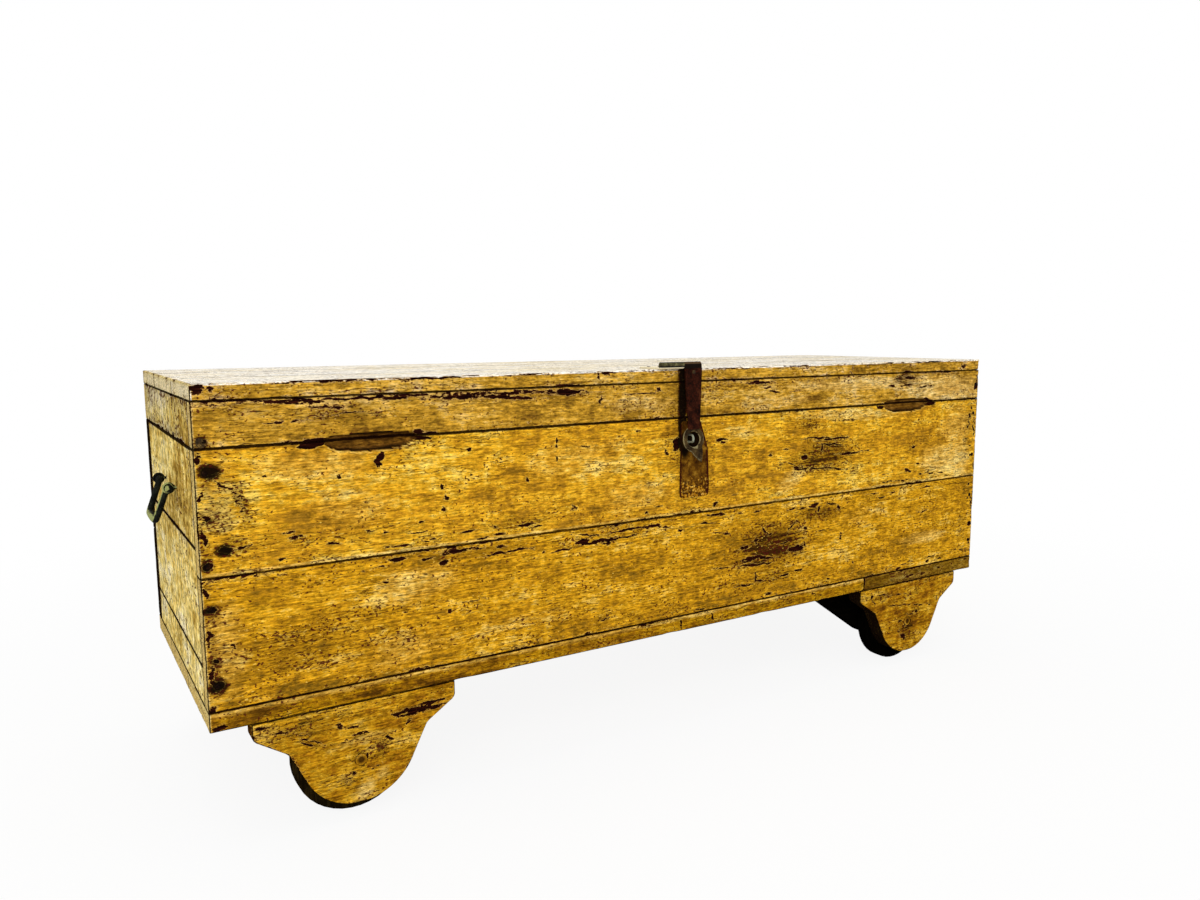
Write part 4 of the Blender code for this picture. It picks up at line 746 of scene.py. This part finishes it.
# Posts and battens inside
# Split hardwood that was never painted: four corner posts and three battens under the lid.
def raw_wood(name, grain, shift):
    """Old unpainted hardwood: grey-brown, with darker pores and streaks along the grain."""
    material, tree, shader, place = new_finish(name)
    layers = []
    for along, over in ((6.0, 60.0), (22.0, 700.0)):
        scale = [over] * 3
        scale[grain] = along
        layers.append(streaks(tree, place, scale, (shift, shift * 2.0, shift * 3.0)))
    both = node(tree, "Mix", {0: 0.45, 2: layers[0], 3: layers[1]})
    colour = node(tree, "ValToRGB", (both,),
                  stops=[(0.36, tint("#43301d")), (0.48, tint("#6d5031")), (0.6, tint("#8f6f47")),
                         (0.7, tint("#a5875c"))])
    bump = node(tree, "Bump", {"Strength": 0.45, "Distance": 0.0005, "Height": layers[1]})
    fill(tree, shader, {"Base Color": colour, "Roughness": 0.82, "Specular IOR Level": 0.25, "Normal": bump})
    return material


post_wood, batten_wood = raw_wood("raw_post_wood", 2, 4.0), raw_wood("raw_batten_wood", 1, 7.0)
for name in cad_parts:
    if "post" in name:
        refinish(name, post_wood)
    if "batten" in name:
        refinish(name, batten_wood)


# Ironwork
# The smith's iron: rust-brown strap and plate, a barrel rubbed to an olive shine, a bright
# staple, an eye with a painted highlight along its rim, black bails and rings with a painted
# olive highlight, and black pins and hinges.
def old_iron(name, tones, rub_and_highlight, dirt, shine, shift, sheen=0.15):
    """Hammered iron: a metal whose colour runs from rust pits to worn spots, with rust patches
    that are rough and don't shine. rub is the bare metal's colour and dirt the rust's, shine says
    how far its worn spots are bare metal, and shift moves the pattern from piece to piece."""
    material, tree, shader, place = new_finish(name)
    where = node(tree, "Mapping", (place, (shift, shift * 1.7, shift * 0.6)))
    broad = node(tree, "TexNoise", {"Vector": where, "Scale": 70.0, "Detail": 4.0, "Roughness": 0.6})
    fine = node(tree, "TexNoise", {"Vector": where, "Scale": 420.0, "Detail": 5.0, "Roughness": 0.7})
    dent = node(tree, "TexVoronoi", {"Vector": where, "Scale": 130.0}, feature="SMOOTH_F1")
    both = node(tree, "Mix", {0: 0.45, 2: broad, 3: fine})
    colour = node(tree, "ValToRGB", (both,),
                  stops=[(at, tint(c)) for at, c in zip((0.38, 0.47, 0.54, 0.63), tones)])
    worn = node(tree, "MapRange", (both, 0.56 - 0.05 * shine, 0.64))
    colour = node(tree, "Mix", {0: worn, 6: colour, 7: tint(rub_and_highlight)}, data_type="RGBA", give=2)
    rust = node(tree, "MapRange", {0: fine, 1: 0.56, 2: 0.64, 4: 0.8})
    colour = node(tree, "Mix", {0: rust, 6: colour, 7: tint(dirt)}, data_type="RGBA", give=2)
    metal = node(tree, "MapRange", (both, 0.44, 0.6, 0.15, shine))
    gloss = node(tree, "MapRange", (both, 0.42, 0.62, 0.8, 0.62 - 0.3 * shine))
    relief = node(tree, "Math", (fine, 0.5, dent), operation="MULTIPLY_ADD")
    bump = node(tree, "Bump", {"Strength": 0.6, "Distance": 0.0008, "Height": relief})
    fill(tree, shader, {"Base Color": colour, "Metallic": metal, "Roughness": gloss,
                        "Specular IOR Level": sheen, "Normal": bump})
    return material


def laid_over(material, share, colour):
    """Lays a colour over what a finish shows so far, by a share from 0 to 1."""
    tree = material.node_tree
    shader = tree.nodes["Principled BSDF"]
    under = shader.inputs["Base Color"].links[0].from_socket
    shown = node(tree, "Mix", {0: share, 6: under, 7: colour}, data_type="RGBA", give=2)
    fill(tree, shader, {"Base Color": shown})


strap_iron = old_iron("rust_brown_iron", ("#0e0402", "#1e0a04", "#2e1006", "#3e1b0b"),
                      "#4a2812", "#401406", 0.02, 1.0, 0.03)
barrel_iron = old_iron("olive_rubbed_iron", ("#1a170b", "#342f18", "#585230", "#7c7650"),
                       "#a39c70", "#2a1e0e", 0.4, 2.0)
eye_iron = old_iron("grey_brown_iron", ("#140d05", "#2e210d", "#503b17", "#705525"),
                    "#a48648", "#3c2010", 0.4, 3.0)
staple_iron = old_iron("bright_iron", ("#4a4a3c", "#6e7060", "#8e937e", "#aab09a"),
                       "#c8ccb8", "#3a2a1a", 0.5, 4.0)
black_iron = old_iron("black_iron", ("#0b0c0a", "#171a15", "#262a20", "#3b3f31"),
                      "#5c6150", "#2e2214", 0.5, 5.0)
# Between two heights each: painted shade on the barrel's underside and along the top edges of
# the barrel and the strap's knuckle, the knuckle darker than the strap with a painted highlight
# near its top, and the lid's cream paint on the leaf's flat under the barrel
for material, start, end, colour in (
        (barrel_iron, 0.6128, 0.6112, "#0d0b06"), (barrel_iron, 0.6096, 0.6093, "#e2d6b4"),
        (barrel_iron, 0.6166, 0.6175, "#15110a"), (strap_iron, 0.6066, 0.6080, "#120b06"),
        (strap_iron, 0.6140, 0.6155, "#54402a"), (strap_iron, 0.6166, 0.6175, "#140c07")):
    tree = material.node_tree
    up = node(tree, "SeparateXYZ", (node(tree, "TexCoord", give="Object"),), give="Z")
    laid_over(material, node(tree, "MapRange", (up, start, end)), tint(colour))
for name, iron in (("hasp_strap", strap_iron), ("hasp_leaf", barrel_iron), ("hasp_pin", barrel_iron),
                   ("staple", staple_iron)):
    refinish(name, iron)
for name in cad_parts:
    if name.startswith("hinge"):
        refinish(name, black_iron)


# End handles
# A forged bail, thickest in the hand, hangs in two eye bolts whose shanks go through the end
# plank and are clinched inside. The black iron carries a painted olive highlight on its outer,
# upper side.
def highlit_black_iron(name, dark, light, shift):
    """Black iron with a painted highlight: light in broken flecks where the rub attribute is high."""
    material = old_iron(name, dark, dark[3], dark[0], 0.0, shift, 0.06)
    tree = material.node_tree
    place = node(tree, "TexCoord", give="Object")
    fleck = node(tree, "TexNoise", {"Vector": place, "Scale": 330.0, "Detail": 4.0, "Roughness": 0.65})
    rub_and_highlight = node(tree, "Attribute", attribute_name="rub_and_highlight", give="Fac")
    both = node(tree, "Math", (fleck, 1.6, rub_and_highlight), operation="MULTIPLY_ADD")
    share = node(tree, "MapRange", {0: both, 1: 1.0, 2: 1.5, 4: 0.9})
    pale = node(tree, "Mix", {0: fleck, 6: tint(light[0]), 7: tint(light[1])}, data_type="RGBA", give=2)
    laid_over(material, share, pale)
    return material


def iron_piece(name, points, quads, rub_and_highlight, body, replaced, finish):
    """A forged piece that takes the place of a CAD node; rub is how much painted highlight each point
    carries.
    """
    piece = new_piece(name, body, points, quads, finish)
    piece.data.attributes.new("rub_and_highlight", "FLOAT", "POINT").data.foreach_set("value", rub_and_highlight.astype(np.float32))
    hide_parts(replaced)


def softened(corners, bends, count=9):
    """A line through corners, each rounded by the curve (1-t)^2 a + 2t(1-t) c + t^2 b between
    the points a and b that lie one bend before and after the corner c."""
    line = [corners[:1]]
    for before, corner, after, bend in zip(corners, corners[1:], corners[2:], bends):
        back = (before - corner) / np.linalg.norm(before - corner)
        onward = (after - corner) / np.linalg.norm(after - corner)
        t = np.linspace(0, 1, count)[:, None]
        line.append((1 - t) ** 2 * (corner + bend * back) + 2 * t * (1 - t) * corner
                    + t ** 2 * (corner + bend * onward))
    return np.concatenate([*line, corners[-1:]])


def rings(rows, columns, closed=False):
    """Quads between neighbouring rings of points, and from the last ring to the first if closed."""
    start = np.arange(rows if closed else rows - 1)[:, None] * columns + np.arange(columns)
    onward = (start + columns) % (rows * columns)
    return np.stack([start, np.roll(start, -1, 1), np.roll(onward, -1, 1), onward], -1).reshape(-1, 4)


def bar_along(line, radius, flat, seed, closed=False):
    """Points, quads and outward directions of a bar with a radius at each point of a flat line.
    At angle b the surface is line + r (side cos b + flat sin b), where side is at right angles to
    the line, and r wavers by 5 % with the hammer. The ends of an open bar close in domes."""
    if not closed:
        first, last = line[0] - line[1], line[-1] - line[-2]
        first, last = first / np.linalg.norm(first), last / np.linalg.norm(last)
        turn = np.radians([90, 65, 35])[:, None]
        line = np.concatenate([line[0] + first * np.sin(turn) * radius[0] * 0.6, line,
                               line[-1] + last * np.sin(turn[::-1]) * radius[-1] * 0.6])
        radius = np.concatenate([radius[0] * np.cos(turn[:, 0]), radius, radius[-1] * np.cos(turn[::-1, 0])])
        run = np.gradient(line, axis=0)
    else:
        run = np.roll(line, -1, 0) - np.roll(line, 1, 0)
    side = np.cross(run, flat)
    side /= np.linalg.norm(side, axis=1)[:, None]
    angle = np.arange(24) / 24 * 2 * np.pi
    outward = side[:, None, :] * np.cos(angle)[None, :, None] + np.array(flat) * np.sin(angle)[None, :, None]
    waver = 1 - 0.08 * blotches(line.repeat(24, 0) + outward.reshape(-1, 3) * 0.004, (0.007,) * 3, seed)
    points = line[:, None, :] + outward * (radius[:, None] * waver.reshape(len(line), 24))[..., None]
    return points.reshape(-1, 3), rings(len(line), 24, closed), outward.reshape(-1, 3)


handle_iron = highlit_black_iron("handle_iron_painted_highlight", ("#050504", "#0a0b08", "#12140e", "#22261a"),
                          ("#747c3e", "#babd7a"), 5.0)
pivot_out, pivot_along, pivot_height = 0.760, -0.028, 0.458
reach, top, grip, drop = 0.0591, 0.041, 0.037, 0.049
ring_radius, clinch = 0.0062, 0.0373
for side_name, side in (("left", -1), ("right", 1)):
    hang = Matrix.Rotation(math.radians(-20.0), 3, "Y")
    turn = np.array(Matrix.Rotation(math.pi if side < 0 else 0.0, 3, "Z") @ hang)
    pivot = np.array((side * pivot_out, pivot_along, pivot_height))
    corners = [(0, reach, 0), (0, top, 0), (0, grip, -drop), (0, -grip, -drop), (0, -top, 0), (0, -reach, 0)]
    line = softened(np.array(corners), (0.009,) * 4)
    steps = np.linspace(0, len(line) - 1, 90)
    line = np.stack([np.interp(steps, np.arange(len(line)), line[:, axis]) for axis in range(3)], 1)
    # Thin in the rings, with a knob at each end, and thickest in the middle of the grip
    out = np.abs(line[:, 1])
    radius = np.where(out > 0.0555, 0.0056, np.where(out > 0.0475, 0.0034, 0.0045))
    radius = np.where(line[:, 2] < -0.03, 0.0046 + 0.0012 * np.clip(1 - out / grip, 0, 1), radius)
    points, quads, outward = bar_along(line, radius, (1.0, 0.0, 0.0), 301)
    points, outward = points @ turn.T + pivot, outward @ turn.T
    # A painted highlight on the side that faces out, back and up, on the front arm and the grip
    lit = outward @ np.array((side * 0.88, 0.38, 0.28))
    front = np.clip((0.01 - (points[:, 1] - pivot_along)) / 0.02, 0, 1)
    low_part = np.clip((0.425 - points[:, 2]) / 0.015, 0, 1)
    rub_and_highlight = np.clip((lit - 0.35) / 0.4, 0, 1) * np.maximum(front, low_part)
    iron_piece(f"{side_name}_bail_forged", points, quads, rub_and_highlight, f"{side_name}_bail",
               f"{side_name}_handle_bail", handle_iron)
    # A ring bent from thin bar, whose shank goes in through the plank and turns down
    for row, y in (("front", -0.052), ("back", 0.052)):
        turns = np.linspace(0, 2 * np.pi, 41)[:-1]
        loop = ring_radius * np.stack([np.cos(turns), 0 * turns, np.sin(turns)], 1)
        ring, ring_quads, ring_out = bar_along(loop, np.full(40, 0.00195), (0.0, 1.0, 0.0), 303, closed=True)
        shank = [(-ring_radius, 0, 0), (-clinch, 0, 0), (-clinch, 0, -0.015)]
        shank = softened(np.array(shank), (0.003,))
        tang, tang_quads, tang_out = bar_along(shank, np.full(len(shank), 0.0019), (0.0, 1.0, 0.0), 305)
        points = np.concatenate([ring, tang]) * (side, 1, 1) + pivot + (0, y, 0)
        outward = np.concatenate([ring_out, tang_out]) * (side, 1, 1)
        quads = np.concatenate([ring_quads, tang_quads + len(ring)])[:, ::side]
        # A painted highlight on the front ring's side that faces out, forward and up
        rub_and_highlight = np.clip((outward @ np.array((side * 0.75, -0.5, 0.4)) - 0.3) / 0.4, 0, 1) * (row == "front")
        iron_piece(f"{side_name}_eye_bolt_{row}", points, quads, rub_and_highlight, "chest",
                   f"{side_name}_handle_ring_{row}", handle_iron)


# Hasp eye
# Beaten from one bar: a tongue behind the strap, a round eye and a pointed tail. Its rim's
# edges carry a painted highlight, most at the upper left.
tail = math.radians(-70.0)
turns = np.linspace(tail - math.pi, tail + math.pi, 145)[:-1]
inner, eye_x, eye_z = 0.0126, -0.0055, -0.120
# The outer rim is a circle that draws out into the tail; the bar's section is a flat oval
outer = 0.0209 + 0.0198 * np.clip(1 - np.abs(turns - tail) / 0.62, 0, 1) ** 1.35
around = np.arange(20) / 20 * 2 * np.pi
middle, half = (outer + inner) / 2, (outer - inner) / 2
across_bar, through = np.cos(around), np.sign(np.sin(around)) * np.abs(np.sin(around)) ** 0.7
reach = middle[:, None] + half[:, None] * across_bar
right, up = np.cos(turns)[:, None], np.sin(turns)[:, None]
points = np.stack([eye_x + reach * right, -0.0015 + 0.00148 * through + 0 * reach, eye_z + reach * up], -1)
outward = np.stack([across_bar * right, through + 0 * reach, across_bar * up], -1).reshape(-1, 3)
# A painted highlight along the bar's inner and outer edges, most where they face left, forward and up
rub_and_highlight = np.clip((np.abs(outward[:, [0, 2]]).max(1) - 0.62) / 0.2, 0, 1)
rub_and_highlight *= np.clip(0.75 - outward @ np.array((0.4, 0.3, -0.5)), 0, 1)
# The tongue is a plain flat block behind the strap's end
tongue_foot = ((-0.0133, -0.003), (0.0023, -0.003), (0.0023, 0.0), (-0.0133, 0.0))
tongue = [(x, y, z) for z in (-0.0905, -0.1035) for x, y in tongue_foot]
tongue_quads = np.array([(3, 2, 1, 0), (4, 5, 6, 7), (1, 5, 4, 0), (2, 6, 5, 1), (3, 7, 6, 2), (0, 4, 7, 3)])
points, rub_and_highlight = np.concatenate([points.reshape(-1, 3), tongue]), np.concatenate([rub_and_highlight, np.zeros(8)])
quads = np.concatenate([rings(144, 20, closed=True), tongue_quads + 144 * 20])
pin_place = (0.0, -0.252, 0.6124)
points = points @ np.array(Matrix.Rotation(math.radians(-6.0), 3, "X")).T + pin_place
iron_piece("hasp_eye_forged", points, quads, rub_and_highlight, "hasp", "hasp_eye",
           highlit_black_iron("eye_iron_painted_highlight", ("#150e06", "#2a1e0e", "#423218", "#584624"),
                       ("#64583a", "#9a8e66"), 3.0))


# Axle ends
# The end of each pin shows in the bracket's face, painted over with it, round a dark centre.
# The rest of the pin and its head behind the bracket are black with grease.
pin_paint = old_iron("painted_pin_end", ("#6a4410", "#97680f", "#ae7e18", "#c0922c"), "#cda044", "#4a2408",
                     0.0, 7.0, 0.0)
tree = pin_paint.node_tree
place = node(tree, "VectorMath", (node(tree, "TexCoord", give="Object"),), operation="ABSOLUTE")
away = node(tree, "VectorMath", (place, (1.0, 0.0, 1.0), (-wheel_out, 0.0, -axle_height)),
            operation="MULTIPLY_ADD")
away = node(tree, "VectorMath", (away,), operation="LENGTH", give="Value")
share = node(tree, "MapRange", (away, 0.0036, 0.0068, 0.9, 0.0))
laid_over(pin_paint, share, tint("#2c1406"))
outward = node(tree, "SeparateXYZ", (place,), give="Y")
share = node(tree, "MapRange", (outward, 0.2360, 0.2400, 1.0, 0.0))
laid_over(pin_paint, share, tint("#0c0906"))
for corner in foot_marks:
    refinish(f"axle_{corner}", pin_paint)


# Backing plate
# A thin iron plate nailed under the staple. Its top is bare brown iron; its lower half still
# carries the chest's paint, which ends in a split, ragged fringe.
def half_painted_iron():
    """Brown iron above a ragged line and chipped mustard paint below it, dark all round its
    ragged outline, with painted shade behind the staple and the eye."""
    material = old_iron("half_painted_iron", ("#321a08", "#52320a", "#704a10", "#8a6218"), "#9c7426",
                        "#3a1808", 0.0, 6.0, 0.0)
    tree = material.node_tree
    place = node(tree, "TexCoord", give="Object")
    height = node(tree, "SeparateXYZ", (place,), give="Z")
    runs = streaks(tree, place, (330.0, 330.0, 90.0), (0.0, 0.0, 0.0), rough=0.65)
    crumb = node(tree, "TexNoise", {"Vector": place, "Scale": 210.0, "Detail": 5.0, "Roughness": 0.7})
    brush = streaks(tree, place, (60.0, 60.0, 400.0), (0.0, 0.0, 0.0), detail=3.0)
    # Paint below a line at about 0.42 m that runs down in ragged tongues
    line = node(tree, "Math", (runs, 0.11, 0.366), operation="MULTIPLY_ADD")
    below = node(tree, "Math", (line, height), operation="SUBTRACT")
    kept = node(tree, "MapRange", (below, -0.0015, 0.0015))
    paint = node(tree, "ValToRGB", (brush,),
                 stops=[(0.4, tint("#8e5c0e")), (0.55, tint("#bd841c")), (0.68, tint("#dcae4a"))])
    # Crumbs of it are gone, most near the line, and the rims of others have lifted and are pale
    gone = node(tree, "Math", (below, 2.4, crumb), operation="MULTIPLY_ADD")
    gone = node(tree, "MapRange", (gone, 0.53, 0.57, 0.93, 0.0))
    paint = node(tree, "Mix", {0: gone, 6: paint, 7: tint("#2c1208")}, data_type="RGBA", give=2)
    lifted = node(tree, "MapRange", {0: crumb, 1: 0.62, 2: 0.66, 4: 0.8})
    paint = node(tree, "Mix", {0: lifted, 6: paint, 7: tint("#e6c670")}, data_type="RGBA", give=2)
    laid_over(material, kept, paint)
    # The dark outline: the right edge leans out as it goes down, the left one is upright
    edge = node(tree, "Math", (height, -0.32, 0.1925), operation="MULTIPLY_ADD")
    edge = node(tree, "Math", (edge, 0.042), operation="MINIMUM")
    across = node(tree, "SeparateXYZ", (place,), give="X")
    right = node(tree, "Math", (edge, across), operation="SUBTRACT")
    left = node(tree, "Math", (across, 0.018), operation="ADD")
    right = node(tree, "Math", (right, 0.45), operation="MULTIPLY")
    rim = node(tree, "Math", (right, left), operation="MINIMUM")
    rim = node(tree, "Math", (crumb, 0.009, rim), operation="MULTIPLY_ADD")
    outline = node(tree, "MapRange", (rim, 0.0066, 0.0078, 0.92, 0.0))
    laid_over(material, outline, tint("#34100a"))
    # Painted shade behind the eye and the staple, in two overlapping rounds, the second one taller
    for x, z, tall, start, end, most, colour in ((0.0085, 0.489, 1.0, 0.013, 0.018, 0.96, "#080503"),
                                                 (-0.009, 0.482, 2.5, 0.007, 0.011, 0.94, "#0c0804")):
        behind = node(tree, "VectorMath", (place, (x, 0.0, z)), operation="SUBTRACT")
        behind = node(tree, "VectorMath", (behind, (1.0, 0.0, 1 / tall)), operation="MULTIPLY")
        behind = node(tree, "VectorMath", (behind,), operation="LENGTH", give="Value")
        shade_behind_eye = node(tree, "MapRange", (behind, start, end, most, 0.0))
        laid_over(material, shade_behind_eye, tint(colour))
    shader = tree.nodes["Principled BSDF"]
    metal = node(tree, "Mix", {0: kept, 2: shader.inputs["Metallic"].links[0].from_socket, 3: 0.0})
    fill(tree, shader, {"Metallic": metal})
    return material


refinish("hasp_backing_plate", half_painted_iron())


# Nails, rivets and the screw
# Hand-made nails with low domed heads hold the planks, the hinges and the hasp; one slotted
# screw replaced a nail at the left end of the rim.
def headed(name, body, place, outward, radius, height, material, slot=0.0):
    """A domed head. Over the polar grid (r, a) the height is h (1 - (r/R)^2)^0.5, with the rim
    turned in under it, and along a slot through the middle it drops by the slot's depth."""
    share = np.concatenate([[0.0], np.linspace(0.12, 1.0, 12), [1.0]])
    turn = np.linspace(0, 2 * np.pi, 33)[:-1]
    lift = height * np.sqrt(np.clip(1 - share ** 2, 0, 1))
    lift[-1] = -0.0006
    grid_share, grid_turn = np.meshgrid(share, turn, indexing="ij")
    x, y = radius * grid_share * np.cos(grid_turn), radius * grid_share * np.sin(grid_turn)
    z = np.repeat(lift[:, None], len(turn), 1)
    z = np.where((np.abs(y) < slot) & (grid_share < 0.99), z - 0.8 * height, z)
    axis = Vector(outward).to_track_quat("Z", "Y").to_matrix()
    points = np.stack([x, y, z], -1).reshape(-1, 3) @ np.array(axis).T + np.array(place)
    points[:len(turn)] = points[0]
    new_piece(name, body, points, rings(len(share), len(turn))[:, ::-1], material)


nail_iron = old_iron("nail_iron", ("#050302", "#0c0604", "#180c06", "#28160a"), "#3c2614", "#200c04",
                     0.05, 8.0, 0.02)
front = front_face - 0.0001
for number, (x, level_mm) in enumerate(((-738, 329), (-741, 214), (-739, 158), (-737, 60),
                                        (738, 329), (740, 243), (738, 158), (740, 62))):
    headed(f"plank_nail_{number}", "chest", (x / 1000, front, base_underside + level_mm / 1000), (0, -1, 0),
           0.0036, 0.0011, nail_iron)
headed("rim_screw", "lid", (-0.740, front, base_underside + 0.367), (0.35, -1, 0.1), 0.0066, 0.0013,
       eye_iron, slot=0.0010)
headed("rim_nail", "lid", (0.741, front, base_underside + 0.388), (0, -1, 0), 0.0038, 0.0011, nail_iron)
headed("strap_rivet", "hasp", (0.0, -0.2588, 0.6010), (0, -1, -0.1), 0.0034, 0.0011, eye_iron)
for number, x in enumerate((-0.050, -0.028)):
    headed(f"hasp_leaf_nail_{number}", "lid", (x, -0.203, 0.6089), (0, 0, 1), 0.0034, 0.0012, eye_iron)
hinge_nails = ((-0.024, 0.478, "chest"), (0.024, 0.478, "chest"), (0.0, 0.494, "chest"),
               (-0.024, 0.566, "lid"), (0.024, 0.566, "lid"), (0.0, 0.551, "lid"))
for side, hinge_out in (("left", -0.470), ("right", 0.470)):
    for number, (x, z, body) in enumerate(hinge_nails):
        headed(f"hinge_nail_{side}_{number}", body, (hinge_out + x, 0.2488, z), (0, 1, 0), 0.0042, 0.0013,
               nail_iron)
